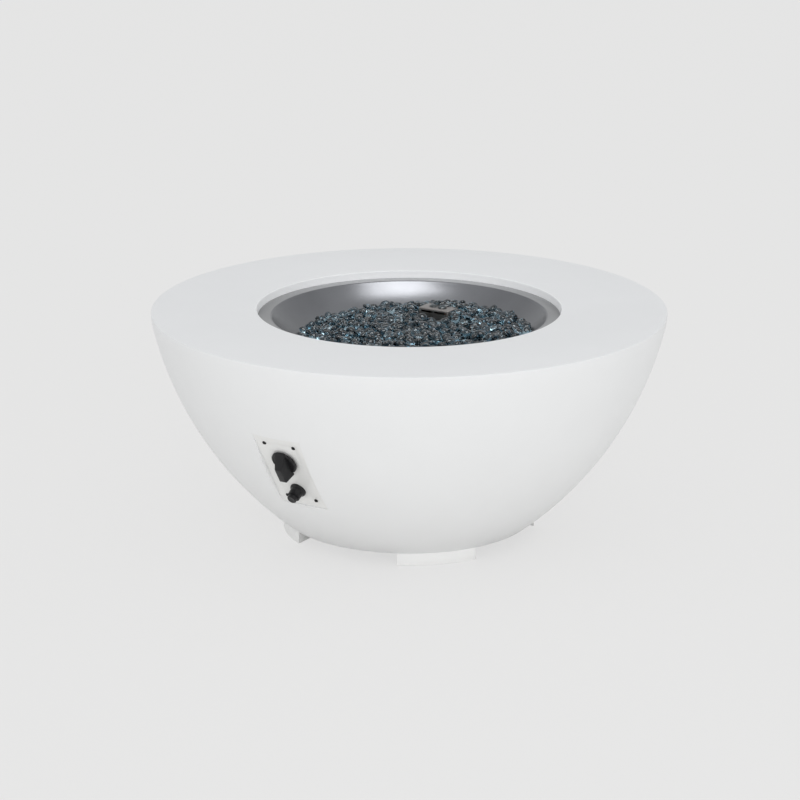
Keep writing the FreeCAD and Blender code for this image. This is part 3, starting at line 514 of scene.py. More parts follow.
def drawn_lines_group() -> bpy.types.NodeTree:
    """Fine lines left by spinning or drawing, either round the Z axis or along X."""
    tree, board = new_group(
        "drawn_lines",
        {"Scale": 900.0, "Round": 1.0},
        {"Lines": "NodeSocketFloat", "Smear": "NodeSocketFloat"},
    )
    given = board.add("NodeGroupInput").outputs
    place = object_place(board)
    apart, reach = from_axis(board, place)
    radius = board.math("ADD", reach, apart[2])
    along = board.math("ADD", apart[1], apart[2])
    pick = board.add("ShaderNodeMix", {"data_type": "FLOAT"}, Factor=given["Round"])
    board.set(pick, 2, along)
    board.set(pick, 3, radius)
    lines = board.add(
        "ShaderNodeTexNoise",
        {"noise_dimensions": "1D"},
        W=board.math("MULTIPLY", pick.outputs[0], given["Scale"]),
        Detail=4.0,
        Roughness=0.7,
    ).outputs[0]
    smear = board.add("ShaderNodeTexNoise", Vector=place, Scale=9.0, Detail=3.0).outputs[0]
    out = board.add("NodeGroupOutput")
    board.set(out, "Lines", lines)
    board.set(out, "Smear", smear)
    return tree


def ring_group() -> bpy.types.NodeTree:
    """A mask that is 0 near the Z axis and 1 beyond a radius, and two wedges of painted shade."""
    tree, board = new_group(
        "ring",
        {"Radius": 0.2, "Width": 0.01, "Side": 0.0},
        {"Mask": "NodeSocketFloat", "Wedge": "NodeSocketFloat"},
    )
    given = board.add("NodeGroupInput").outputs
    apart, reach = from_axis(board, object_place(board))
    end = board.math("ADD", given["Radius"], given["Width"])
    out = board.add("NodeGroupOutput")
    board.set(out, "Mask", board.ramp(reach, given["Radius"], end))
    # painted shade: a share that is 0 along Side and its opposite and 1 across it
    angle = board.math("ARCTAN2", apart[1], apart[0])
    lobe = board.math("SINE", board.math("SUBTRACT", angle, given["Side"]))
    board.set(out, "Wedge", board.math("POWER", board.math("ABSOLUTE", lobe), 1.5))
    return tree


MOTTLE = mottle_group()
PORES = pores_group()
DRAWN_LINES = drawn_lines_group()
RING = ring_group()


def use_group(board: Board, tree: bpy.types.NodeTree, **inputs) -> bpy.types.Node:
    """Place a shader group in a material."""
    node = board.add("ShaderNodeGroup")
    node.node_tree = tree
    for key, value in inputs.items():
        board.set(node, key.replace("_", " "), value)
    return node


def start_material(name: str) -> tuple[bpy.types.Material, Board, bpy.types.Node]:
    """A new material with its board and its Principled shader."""
    material = bpy.data.materials.new(name)
    material.use_nodes = True
    board = Board(material.node_tree)
    return material, board, material.node_tree.nodes["Principled BSDF"]


def bump(board: Board, shader: bpy.types.Node, height: object, depth: float, share: float) -> None:
    """Feed a height to a shader's normal.

    Args:
        board: the material's board.
        shader: the Principled shader.
        height: the height's socket.
        depth: the full height in metres.
        share: how strongly it shows, 0 to 1.
    """
    node = board.add("ShaderNodeBump", Height=height, Strength=share, Distance=depth)
    board.set(shader, "Normal", node.outputs[0])


@dataclass(frozen=True)
class CastFinish:
    """Pale cast concrete: faint clouds, fine grain and a few pinholes."""

    name: str
    colour: Colour
    tone: float = 0.05
    cloud_scale: float = 5.0
    grain_scale: float = 700.0
    roughness: float = 0.62

    def make(self) -> bpy.types.Material:
        """Build the material."""
        material, board, shader = start_material(self.name)
        clouds = use_group(
            board,
            MOTTLE,
            Colour=rgba(self.colour),
            Tone=self.tone,
            Cloud_Scale=self.cloud_scale,
            Grain_Scale=self.grain_scale,
        ).outputs
        holes = use_group(board, PORES, Scale=90.0, Size=0.06, Share=0.12).outputs
        shadow = rgba(tuple(c * 0.8 for c in self.colour))
        board.set(shader, "Base Color", board.blend(holes["Mask"], clouds["Colour"], shadow))
        rough = board.math("MULTIPLY_ADD", clouds["Cloud"], 0.08, self.roughness - 0.04)
        board.set(shader, "Roughness", rough)
        height = board.math("MULTIPLY_ADD", clouds["Grain"], 0.35, holes["Height"])
        bump(board, shader, height, 0.0003, 0.35)
        shader.inputs["Specular IOR Level"].default_value = 0.35
        return material


@dataclass(frozen=True)
class MetalFinish:
    """Worked metal: fine drawn lines, with a smear of tone and a varied polish."""

    name: str
    colour: Colour
    roughness: float = 0.32
    line_scale: float = 900.0
    line_share: float = 0.25
    tone: float = 0.12
    run: Run = Run.ALONG_X

    def surface(self, board: Board, shader: bpy.types.Node) -> bpy.types.NodeSocket:
        """Feed the lines to a shader's polish and bump.

        Args:
            board: the material's board.
            shader: the Principled shader.

        Returns:
            The smeared colour.
        """
        lines = use_group(
            board, DRAWN_LINES, Scale=self.line_scale, Round=self.run.value
        ).outputs
        dark = rgba(tuple(c * (1 - self.tone) for c in self.colour))
        tone = board.ramp(lines["Smear"], 0.35, 0.65)
        polish = board.math("MULTIPLY_ADD", lines["Lines"], 0.16, self.roughness - 0.08)
        board.set(shader, "Roughness", polish)
        shader.inputs["Metallic"].default_value = 1.0
        bump(board, shader, lines["Lines"], 0.0001, self.line_share)
        return board.blend(tone, rgba(self.colour), dark)

    def make(self) -> bpy.types.Material:
        """Build the material."""
        material, board, shader = start_material(self.name)
        board.set(shader, "Base Color", self.surface(board, shader))
        return material


@dataclass(frozen=True)
class SpunFinish(MetalFinish):
    """Spun sheet steel: fine rings, painted reflection on the flange, painted shade in two wedges.
    """

    roughness: float = 0.3
    line_scale: float = 1400.0
    line_share: float = 0.2
    tone: float = 0.14
    run: Run = Run.ROUND_Z
    # painted reflection: the flange is the wall's own steel, given a paler colour for the brighter
    # backdrop that it reflects
    flange: Colour = (0.50, 0.505, 0.515)
    # where the flange begins, and how wide its edge is, in millimetres
    flange_from: float = 287.0
    flange_edge: float = 3.0
    # painted shade darkens the two wedges along this direction, in degrees from +X, near the
    # camera's azimuth; those across it stay bright
    painted_shade_side: float = 32.0
    # how much of the tone the wedges of painted shade keep
    painted_shade_keep_wall: float = 0.82
    painted_shade_keep_flange: float = 0.5

    def make(self) -> bpy.types.Material:
        """Build the material."""
        material, board, shader = start_material(self.name)
        wall = self.surface(board, shader)
        ring = use_group(
            board,
            RING,
            Radius=self.flange_from * MM,
            Width=self.flange_edge * MM,
            Side=math.radians(self.painted_shade_side),
        ).outputs
        kept = board.math(
            "MULTIPLY_ADD", ring["Mask"], self.painted_shade_keep_flange - self.painted_shade_keep_wall, self.painted_shade_keep_wall
        )
        # painted reflection: the flange takes a paler colour than the wall
        bright = board.blend(ring["Mask"], wall, rgba(self.flange))
        # painted shade: darken the colour in the two wedges, more on the flange than on the wall
        dull = board.blend(kept, rgba((0, 0, 0)), bright)
        board.set(shader, "Base Color", board.blend(ring["Wedge"], dull, bright))
        return material


@dataclass(frozen=True)
class MouldedFinish:
    """Moulded plastic, paint or rubber: a fine even grain and slightly uneven gloss."""

    name: str
    colour: Colour
    roughness: float = 0.45
    grain_scale: float = 1800.0
    tone: float = 0.1
    bump_share: float = 0.25
    specular: float = 0.5

    def make(self) -> bpy.types.Material:
        """Build the material."""
        material, board, shader = start_material(self.name)
        clouds = use_group(
            board,
            MOTTLE,
            Colour=rgba(self.colour),
            Tone=self.tone,
            Cloud_Scale=40.0,
            Grain_Scale=self.grain_scale,
        ).outputs
        board.set(shader, "Base Color", clouds["Colour"])
        rough = board.math("MULTIPLY_ADD", clouds["Cloud"], 0.1, self.roughness - 0.05)
        board.set(shader, "Roughness", rough)
        bump(board, shader, clouds["Grain"], 0.00008, self.bump_share)
        shader.inputs["Specular IOR Level"].default_value = self.specular
        return material


@dataclass(frozen=True)
class BeadGlass:
    """Clear tinted glass, each bead a little lighter or darker than the next."""

    name: str
    light: Colour
    dark: Colour
    roughness: float = 0.02

    def make(self) -> bpy.types.Material:
        """Build the material."""
        material, board, shader = start_material(self.name)
        tone = board.add("ShaderNodeAttribute", {"attribute_name": "tone"}).outputs["Fac"]
        board.set(shader, "Base Color", board.blend(tone, rgba(self.dark), rgba(self.light)))
        shader.inputs["Roughness"].default_value = self.roughness
        shader.inputs["Transmission Weight"].default_value = 1.0
        shader.inputs["IOR"].default_value = 1.5
        return material


class Finishes:
    """Every finish on the fire bowl, built once."""

    def __init__(self) -> None:
        """Build the materials."""
        self.cast = CastFinish("cast_white", (0.85, 0.855, 0.86)).make()
        # painted highlight: a whiter copy of the cast for the light caught by the lip and the plate
        # seat's walls
        self.cast_edge_highlight = CastFinish("cast_white_edge", (0.96, 0.965, 0.97)).make()
        # painted light: the feet are the bowl's own cast, made paler to lift the shade that falls
        # on them by the floor
        self.cast_foot_painted_light = CastFinish("cast_white_foot", (0.93, 0.93, 0.925)).make()
        # painted reflection: the pan's very dark colour is partly the steel's own and partly stands
        # in for the darker surroundings that it reflects
        self.pan = SpunFinish("spun_pan_steel", (0.205, 0.21, 0.222)).make()
        self.hood = MetalFinish("folded_hood_steel", (0.28, 0.265, 0.255), 0.4).make()
        self.burner = MetalFinish("dull_burner_steel", (0.45, 0.44, 0.42), 0.4).make()
        self.zinc = MetalFinish("zinc_plate", (0.58, 0.59, 0.60), 0.36).make()
        self.brass = MetalFinish("machined_brass", (0.75, 0.58, 0.28), 0.28).make()
        self.tube = MetalFinish("drawn_tube_alloy", (0.76, 0.77, 0.78), 0.3).make()
        self.spring = MetalFinish("spring_steel_wire", (0.50, 0.50, 0.50), 0.3).make()
        self.copper = MetalFinish("bare_copper", (0.72, 0.40, 0.24), 0.3).make()
        self.plate = MouldedFinish(
            "plate_powder_coat", (0.82, 0.82, 0.81), 0.42, 1400.0, 0.03, 0.35
        ).make()
        self.black_screw = MouldedFinish(
            "black_oxide", (0.006, 0.006, 0.007), 0.4, specular=0.3
        ).make()
        self.knob = MouldedFinish(
            "black_moulding", (0.011, 0.011, 0.012), 0.38, specular=0.32
        ).make()
        self.ceramic = MouldedFinish("fired_ceramic", (0.86, 0.84, 0.78), 0.5).make()
        self.cell = MouldedFinish("cell_jacket", (0.10, 0.13, 0.18), 0.3).make()
        self.silicone = MouldedFinish("silicone_sleeve", (0.75, 0.74, 0.70), 0.6).make()
        self.glass = BeadGlass("fire_glass", (0.33, 0.44, 0.49), (0.16, 0.245, 0.295)).make()
        # painted shade: the lower glass is coloured near black for the shade deep in the heap, not
        # the glass's own tint
        self.bed = MouldedFinish("glass_depths", (0.03, 0.05, 0.065), 0.25, 120.0).make()


# The studio and the camera


class LampRole(Enum):
    """What a lamp is seen by."""

    LIGHTS = "dull surfaces"
    MIRRORED = "polished surfaces"


@dataclass(frozen=True)
class Lamp:
    """A soft square lamp, in metres and watts."""

    name: str
    place: Colour
    aim: Colour
    size: float
    power: float
    role: LampRole

    def build(self) -> None:
        """Hang the lamp and turn it towards its aim."""
        data = bpy.data.lights.new(self.name, "AREA")
        data.shape = "SQUARE"
        data.size = self.size
        data.energy = self.power
        lamp = bpy.data.objects.new(self.name, data)
        bpy.context.scene.collection.objects.link(lamp)
        lamp.visible_diffuse = self.role is LampRole.LIGHTS
        lamp.visible_glossy = self.role is LampRole.MIRRORED
        lamp.location = self.place
        sight = Vector(self.aim) - Vector(self.place)
        lamp.rotation_euler = sight.to_track_quat("-Z", "Y").to_euler()


LAMPS = (
    Lamp("front_softbox", (3.0, -3.8, 1.5), (0, 0, 0.3), 2.4, 41, LampRole.LIGHTS),
    Lamp("high_reflector", (1.0, -0.8, 4.3), (0, 0, 0.45), 2.8, 115, LampRole.MIRRORED),
)


@dataclass
class Studio:
    """A pale floor and backdrop, soft lamps, and the camera of the photograph."""

    # camera, in metres and degrees round the bowl's axis
    azimuth: float = 32.25
    distance: float = 5.0124
    height: float = 1.7644
    tilt: float = 16.589
    swing: float = 0.2165
    lens: float = 112.2
    # what the camera sees behind the bowl, and the light on the bowl
    backdrop: float = 0.772
    floor_glow: float = 0.79
    world_light: float = 0.815
    shadow_share: float = 0.2
    # the floor's side in metres, and its depth in millimetres
    floor_size: float = 60.0
    floor_depth: float = 20.0
    floor_colour: Colour = (0.92, 0.91, 0.89)
    world_colour: Colour = (0.99, 1.0, 1.01)

    def camera(self) -> None:
        """Place the camera."""
        data = bpy.data.cameras.new("camera")
        data.sensor_width = 36.0
        data.lens = self.lens
        data.dof.use_dof = False
        camera = bpy.data.objects.new("camera", data)
        bpy.context.scene.collection.objects.link(camera)
        angle = math.radians(self.azimuth)
        camera.location = (
            math.sin(angle) * self.distance,
            -math.cos(angle) * self.distance,
            self.height,
        )
        camera.rotation_euler = (
            math.radians(90 - self.tilt),
            0,
            math.radians(self.azimuth + self.swing),
        )
        bpy.context.scene.camera = camera

    def seen(self, board: Board) -> bpy.types.NodeSocket:
        """1 where a surface is looked at, straight, through glass or in a polished face."""
        path = board.add("ShaderNodeLightPath").outputs
        straight = board.math("MAXIMUM", path["Is Camera Ray"], path["Is Transmission Ray"])
        return board.math("MAXIMUM", straight, path["Is Glossy Ray"])

    def floor(self) -> None:
        """Lay the floor: pale to the eye, with the bowl's soft shadow."""
        side = self.floor_size / MM
        mesh = prism("floor", rectangle(side, side), -self.floor_depth, 0)
        floor = new_object("floor", mesh)
        material, board, shader = start_material("floor")
        shader.inputs["Base Color"].default_value = rgba(self.floor_colour)
        shader.inputs["Roughness"].default_value = 0.9
        glow = board.add("ShaderNodeEmission", Strength=self.floor_glow)
        share = board.math("MULTIPLY", self.seen(board), 1 - self.shadow_share)
        both = board.add("ShaderNodeMixShader")
        board.set(both, 0, share)
        board.set(both, 1, shader.outputs[0])
        board.set(both, 2, glow.outputs[0])
        ending = material.node_tree.nodes["Material Output"]
        board.set(ending, "Surface", both.outputs[0])
        floor.data.materials.append(material)

    def world(self) -> None:
        """Light the studio evenly from all round."""
        world = bpy.data.worlds.new("studio")
        bpy.context.scene.world = world
        world.use_nodes = True
        board = Board(world.node_tree)
        back = world.node_tree.nodes["Background"]
        back.inputs["Color"].default_value = rgba(self.world_colour)
        step = board.math("MULTIPLY", self.seen(board), self.backdrop - self.world_light)
        board.set(back, "Strength", board.math("ADD", step, self.world_light))

    def build(self) -> None:
        """Set up the whole studio."""
        self.camera()
        self.floor()
        self.world()
        for lamp in LAMPS:
            lamp.build()
        bpy.context.scene.view_settings.view_transform = "Standard"


# The cast bowl


@dataclass
class CastBowl:
    """The hollow cast bowl with its opening, the seat for the control plate, and its feet."""

    finishes: Finishes
    rim_arc: float = 119.0
    rim_turn: float = 12.7
    rim_round: float = 2.5
    lip_round: float = 3.0
    wall: float = 20.0
    opening: float = 315.6
    ledge_drop: float = 17.5
    ledge_width: float = 20.0
    ledge_depth: float = 22.0
    access: float = 150.0
    floor_slab: float = 22.0
    base: float = 266.0
    sides: int = 288
    side_steps: int = 40
    rim_steps: int = 6
    plate_gap: float = 0.4
    window: Point = (54.0, 146.0)
    # how far from an edge its painted highlight reaches, beside the plate and on the lip
    seat_reach: float = 3.0
    lip_reach: float = 3.5

    def side(self, top: float, rim: float, foot: float, inset: float) -> list[Point]:
        """The bowl's side from the rim down to its base.

        Args:
            top: the rim's height.
            rim: the rim's radius.
            foot: the base's height.
            inset: how far the curve lies inside the bowl's skin.

        Returns:
            The points of the two arcs, in millimetres.
        """
        turn = math.radians(self.rim_turn)
        joint = (rim - self.rim_arc * (1 - math.cos(turn)), top - self.rim_arc * math.sin(turn))
        run, drop = joint[0] - self.base, joint[1] - foot
        radius = (run**2 + drop**2) / (2 * (run * math.cos(turn) - drop * math.sin(turn)))
        centre = (joint[0] - radius * math.cos(turn), joint[1] + radius * math.sin(turn))
        last = math.asin((centre[1] - foot) / radius)
        points = []
        for k in range(self.rim_steps):
            angle = turn * k / self.rim_steps
            reach = self.rim_arc - inset
            points.append(
                (rim - self.rim_arc + reach * math.cos(angle), top - reach * math.sin(angle))
            )
        for k in range(self.side_steps + 1):
            angle = turn + (last - turn) * k / self.side_steps
            reach = radius - inset
            points.append(
                (centre[0] + reach * math.cos(angle), centre[1] - reach * math.sin(angle))
            )
        return points

    def shell(self) -> bpy.types.Object:
        """Turn the casting and cut the plate's seat and window."""
        low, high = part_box("bowl_shell")
        top, rim, foot = high.z / MM, high.x / MM, low.z / MM
        skin = self.side(top, rim, foot, 0.0)
        ledge = top - self.ledge_drop
        under = ledge - self.ledge_depth
        floor_top = foot + self.floor_slab
        inner = [p for p in self.side(top, rim, foot, self.wall) if floor_top < p[1] < under]
        corners = [Corner(self.opening, top, self.lip_round), Corner(rim, top, self.rim_round)]
        corners += [Corner(*p) for p in skin[1:]]
        corners += [
            Corner(self.access, foot, 1.5),
            Corner(self.access, floor_top),
            Corner(inner[-1][0] - self.wall / 4, floor_top),
        ]
        corners += [Corner(*p) for p in reversed(inner)]
        corners += [
            Corner(inner[0][0], under + self.ledge_depth / 2),
            Corner(self.opening + self.wall * 2, under + self.ledge_depth / 2),
            Corner(self.opening + self.wall, under),
            Corner(self.opening - self.ledge_width, under),
            Corner(self.opening - self.ledge_width, ledge, 1.0),
            Corner(self.opening, ledge),
        ]
        shell = new_object("cast_bowl", turned("cast_bowl", rounded(corners), self.sides))
        seat = plate_seat()
        depth = -PLATE_THICKNESS
        width, height = plate_size()
        room = rectangle(width + 2 * self.plate_gap, height + 2 * self.plate_gap)
        recess = prism("recess", room, depth, self.wall * 2)
        recess.transform(seat.matrix())
        cut(shell, recess)
        window = prism("window", rectangle(*self.window), -self.wall * 2.5, self.wall)
        window.transform(seat.matrix())
        cut(shell, window)
        shade(shell, 20)
        fit(shell, self.finishes.cast, replaces=("bowl_shell",))
        self.paint_edge_highlight(shell, seat)
        return shell

    def paint_edge_highlight(self, shell: bpy.types.Object, seat: Seat) -> None:
        """Paint a highlight, a whiter copy of the cast, on the opening's lip and the plate seat's
        walls.

        Args:
            shell: the finished casting.
            seat: the middle of the plate's face.
        """
        # painted highlight on the lip and the seat's walls
        shell.data.materials.append(self.finishes.cast_edge_highlight)
        width, height = plate_size()
        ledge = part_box("bowl_shell")[1].z - (self.ledge_drop + 0.5) * MM
        across, up = width / 2 + self.seat_reach, height / 2 + self.seat_reach
        back = seat.matrix().inverted()
        turn = back.to_3x3()
        for face in shell.data.polygons:
            spot = back @ face.center / MM
            beside = abs(spot.x) < across and abs(spot.y) < up
            upright = abs((turn @ face.normal).z) < 0.3
            in_seat = beside and upright and -self.seat_reach < spot.z < self.wall
            reach = Vector(face.center[:2]).length / MM
            on_lip = abs(reach - self.opening) < self.lip_reach and abs(face.normal.z) < 0.95
            if in_seat or (on_lip and face.center.z > ledge):
                face.material_index = 1

    def feet(self) -> None:
        """Round the edges of the four feet."""
        for place in ("rear_right", "rear_left", "front_left", "front_right"):
            foot = merged_copy("cast_foot_" + place, "foot_" + place)
            soften(foot, 1.5, 2, 40)
            shade(foot, 30)
            # the feet take the paler painted-light copy of the cast
            fit(foot, self.finishes.cast_foot_painted_light, replaces=("foot_" + place,))

    def build(self) -> None:
        """Make the casting and its feet."""
        self.shell()
        self.feet()


def joint_named(name: str) -> dict:
    """The frame's joint of that name."""
    return next(joint for joint in frame["joints"] if joint["name"] == name)


def knob_seat() -> Seat:
    """The gas knob's place on the control plate."""
    joint = joint_named("knob_turn")
    return Seat(Vector(joint["pos_m"]), Vector(joint["axis"]).normalized())


# millimetres; the igniter stands this far below the middle of the plate
PLATE_THICKNESS = 2.0
IGNITER_BELOW = 51.5


def plate_seat() -> Seat:
    """The middle of the control plate's face."""
    low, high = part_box("control_plate")
    return Seat((low + high) / 2, knob_seat().outward).moved(0, 0, PLATE_THICKNESS / 2)


def igniter_seat() -> Seat:
    """The igniter's place on the control plate."""
    return plate_seat().moved(0, -IGNITER_BELOW)


def plate_size() -> tuple[float, float]:
    """The control plate's width and height in millimetres."""
    low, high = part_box("control_plate")
    seat = knob_seat()
    width = (high.x - low.x) / MM
    height = ((high.z - low.z) / MM - PLATE_THICKNESS * abs(seat.outward.z)) / abs(seat.up.z)
    return width, height


# The sunken burner


@dataclass
class BurnerPan:
    """The spun dish whose flange drops into the bowl's opening."""

    finishes: Finishes
    sheet: float = 1.5
    flange_inner: float = 286.0
    flange_round: float = 4.0
    dish_radius: float = 150.0
    dish_turn: float = 26.0
    foot_round: float = 30.0
    hub_hole: float = 10.8
    weep_hole: float = 3.0
    weep_reach: float = 140.0
    lead_hole: float = 6.0
    lead_spots: tuple[Point, Point] = ((-18.0, 116.0), (18.0, 116.0))
    wall_steps: int = 12
    sides: int = 224

    def dish_centre(self) -> tuple[float, float]:
        """The middle of the dish's arc, as a radius and a height in millimetres."""
        low, high = (corner.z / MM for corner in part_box("burner_pan"))
        level = low + self.sheet + self.dish_radius
        reach = math.sqrt(self.dish_radius**2 - (level - high) ** 2)
        return self.flange_inner - reach, level

    def wall(self, top: float, floor: float, outward: float) -> list[Corner]:
        """The dish from its flange down to its flat floor.

        Args:
            top: the height at which the wall leaves the flange.
            floor: the floor's height.
            outward: how far this face lies outside the inner one.

        Returns:
            The wall's corners, from the flange to the floor.
        """
        centre_x, centre_z = self.dish_centre()
        reach = self.dish_radius + outward
        first = math.acos((centre_z - top) / reach)
        last = math.radians(self.dish_turn)
        points = []
        for k in range(self.wall_steps + 1):
            angle = first + (last - first) * k / self.wall_steps
            points.append((centre_x + reach * math.sin(angle), centre_z - reach * math.cos(angle)))
        end = points[-1]
        foot = end[0] - (end[1] - floor) / math.tan(last)
        corners = [Corner(points[0][0], points[0][1], self.flange_round + outward)]
        corners += [Corner(*p) for p in points[1:]]
        corners.append(Corner(foot, floor, self.foot_round))
        return corners

    def build(self) -> None:
        """Turn the pan and punch its holes."""
        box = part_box("burner_pan")
        low, high, edge = box[0].z / MM, box[1].z / MM, box[1].x / MM
        floor = low + self.sheet
        under = high - self.sheet
        corners = [Corner(edge, under, 0.5), Corner(edge, high, 0.6)]
        corners += self.wall(high, floor, 0.0)
        corners += [Corner(self.hub_hole, floor), Corner(self.hub_hole, low)]
        corners += reversed(self.wall(under, low, self.sheet))
        pan = new_object("spun_pan", turned("spun_pan", rounded(corners, 4), self.sides))
        weep = self.weep_reach / math.sqrt(2)
        spots = [(x * weep, y * weep, self.weep_hole) for x in (-1, 1) for y in (-1, 1)]
        spots += [(*spot, self.lead_hole) for spot in self.lead_spots]
        for x, y, reach in spots:
            tip, end = low - 2, floor + 2
            drill = turned("drill", [(0, tip), (reach, tip), (reach, end), (0, end)], 24)
            drill.transform(Matrix.Translation(Vector((x, y, 0)) * MM))
            cut(pan, drill)
        shade(pan, 30)
        fit(pan, self.finishes.pan, replaces=("burner_pan",))


def random_vector(board: Board, low: object, high: object, seed: object) -> bpy.types.NodeSocket:
    """A random vector between two others, one for each point."""
    node = board.add("FunctionNodeRandomValue", {"data_type": "FLOAT_VECTOR"})
    board.set(node, 0, low)
    board.set(node, 1, high)
    board.set(node, "Seed", seed)
    return node.outputs[0]


def number_input(tree: bpy.types.NodeTree, name: str, kind: str = "Float") -> None:
    """Add a named input to a Geometry Nodes tree."""
    tree.interface.new_socket(name, in_out="INPUT", socket_type="NodeSocket" + kind)


def run_tree(thing: bpy.types.Object, tree: bpy.types.NodeTree, values: dict) -> None:
    """Run a Geometry Nodes tree on an object and keep the plain mesh that it makes.

    Args:
        thing: the object that the tree starts from.
        tree: the tree.
        values: a value for each of the tree's named inputs.
    """
    change = thing.modifiers.new(tree.name, "NODES")
    change.node_group = tree
    for item in tree.interface.items_tree:
        if item.item_type == "SOCKET" and item.in_out == "INPUT" and item.name in values:
            change[item.identifier] = values[item.name]
    settle(thing)


# points tried on each square metre, before the least spacing thins them
POINT_DENSITY = 40000.0
# what each random draw over the drops starts from
HEAVE_SEED = 11
TURN_SEED = 12
SIZE_SEED = 13
TONE_SEED = 14


def vector(board: Board, x: object = 0.0, y: object = 0.0, z: object = 0.0) -> object:
    """A vector of three values."""
    return board.add("ShaderNodeCombineXYZ", X=x, Y=y, Z=z).outputs[0]


def end_tree(board: Board, points: object, finish: object, result: str) -> None:
    """End a tree: make the copies real, dress them and hand them out.

    Args:
        board: the tree's board.
        points: the copies.
        finish: their material.
        result: the name of the tree's output.
    """
    real = board.add("GeometryNodeRealizeInstances", Geometry=points).outputs[0]
    dressed = board.add("GeometryNodeSetMaterial", Geometry=real, Material=finish)
    board.set(board.add("NodeGroupOutput"), result, dressed.outputs[0])


def copies(board: Board, points: object, thing: object) -> bpy.types.Node:
    """Set a copy of an object on each point."""
    node = board.add("GeometryNodeInstanceOnPoints", Points=points)
    shape = board.add("GeometryNodeObjectInfo", Object=thing).outputs["Geometry"]
    board.set(node, "Instance", shape)
    return node


def scatter_tree() -> bpy.types.NodeTree:
    """Lay copies of a bead over a surface, turned and sized at random, clear of a box."""
    tree = bpy.data.node_groups.new("scatter_beads", "GeometryNodeTree")
    number_input(tree, "Surface", "Geometry")
    number_input(tree, "Bead", "Object")
    number_input(tree, "Finish", "Material")
    for name in ("Spacing", "Tilt", "Smallest", "Largest", "Heave"):
        number_input(tree, name)
    for name in ("Hood Side", "Hood Front", "Hood Back", "Hood Top"):
        number_input(tree, name)
    number_input(tree, "Seed", "Int")
    tree.interface.new_socket("Beads", in_out="OUTPUT", socket_type="NodeSocketGeometry")
    board = Board(tree)
    given = board.add("NodeGroupInput").outputs
    points = board.add(
        "GeometryNodeDistributePointsOnFaces",
        {"distribute_method": "POISSON"},
        Mesh=given["Surface"],
        Distance_Min=given["Spacing"],
        Density_Max=POINT_DENSITY,
        Seed=given["Seed"],
    ).outputs["Points"]
    place = board.add("ShaderNodeSeparateXYZ")
    board.set(place, 0, board.add("GeometryNodeInputPosition").outputs[0])
    aside = board.math("ABSOLUTE", place.outputs[0])
    within = board.math("LESS_THAN", aside, given["Hood Side"])
    behind = board.math("GREATER_THAN", place.outputs[1], given["Hood Front"])
    before = board.math("LESS_THAN", place.outputs[1], given["Hood Back"])
    under = board.math("LESS_THAN", place.outputs[2], given["Hood Top"])
    in_plan = board.math("MULTIPLY", board.math("MULTIPLY", within, behind), before)
    in_way = board.math("MULTIPLY", in_plan, under)
    cleared = board.add("GeometryNodeDeleteGeometry", {"domain": "POINT"}, Geometry=points)
    board.set(cleared, "Selection", in_way)
    drop = board.math("MULTIPLY", given["Heave"], -1.0)
    heaved = board.add("GeometryNodeSetPosition", Geometry=cleared.outputs[0])
    low, high = vector(board, z=drop), vector(board, z=given["Heave"])
    board.set(heaved, "Offset", random_vector(board, low, high, HEAVE_SEED))
    tilt, small, large = given["Tilt"], given["Smallest"], given["Largest"]
    back = board.math("MULTIPLY", tilt, -1.0)
    beads = copies(board, heaved.outputs[0], given["Bead"])
    low, high = vector(board, back, back), vector(board, tilt, tilt, 2 * math.pi)
    board.set(beads, "Rotation", random_vector(board, low, high, TURN_SEED))
    low, high = vector(board, small, small, small), vector(board, large, large, large)
    board.set(beads, "Scale", random_vector(board, low, high, SIZE_SEED))
    toned = board.add(
        "GeometryNodeStoreNamedAttribute",
        {"data_type": "FLOAT", "domain": "INSTANCE"},
        Geometry=beads.outputs[0],
        Name="tone",
    )
    tone = board.add("FunctionNodeRandomValue", {"data_type": "FLOAT"}, Seed=TONE_SEED)
    board.set(toned, "Value", tone.outputs[1])
    end_tree(board, toned.outputs[0], given["Finish"], "Beads")
    return tree


@dataclass(frozen=True)
class DropLayer:
    """One laid layer of drops, in millimetres and degrees."""

    name: str
    # how far it lies under the heap's surface, and the least distance between two drops
    sink: float
    spacing: float
    seed: int
    # how far a drop may lean
    tilt: float


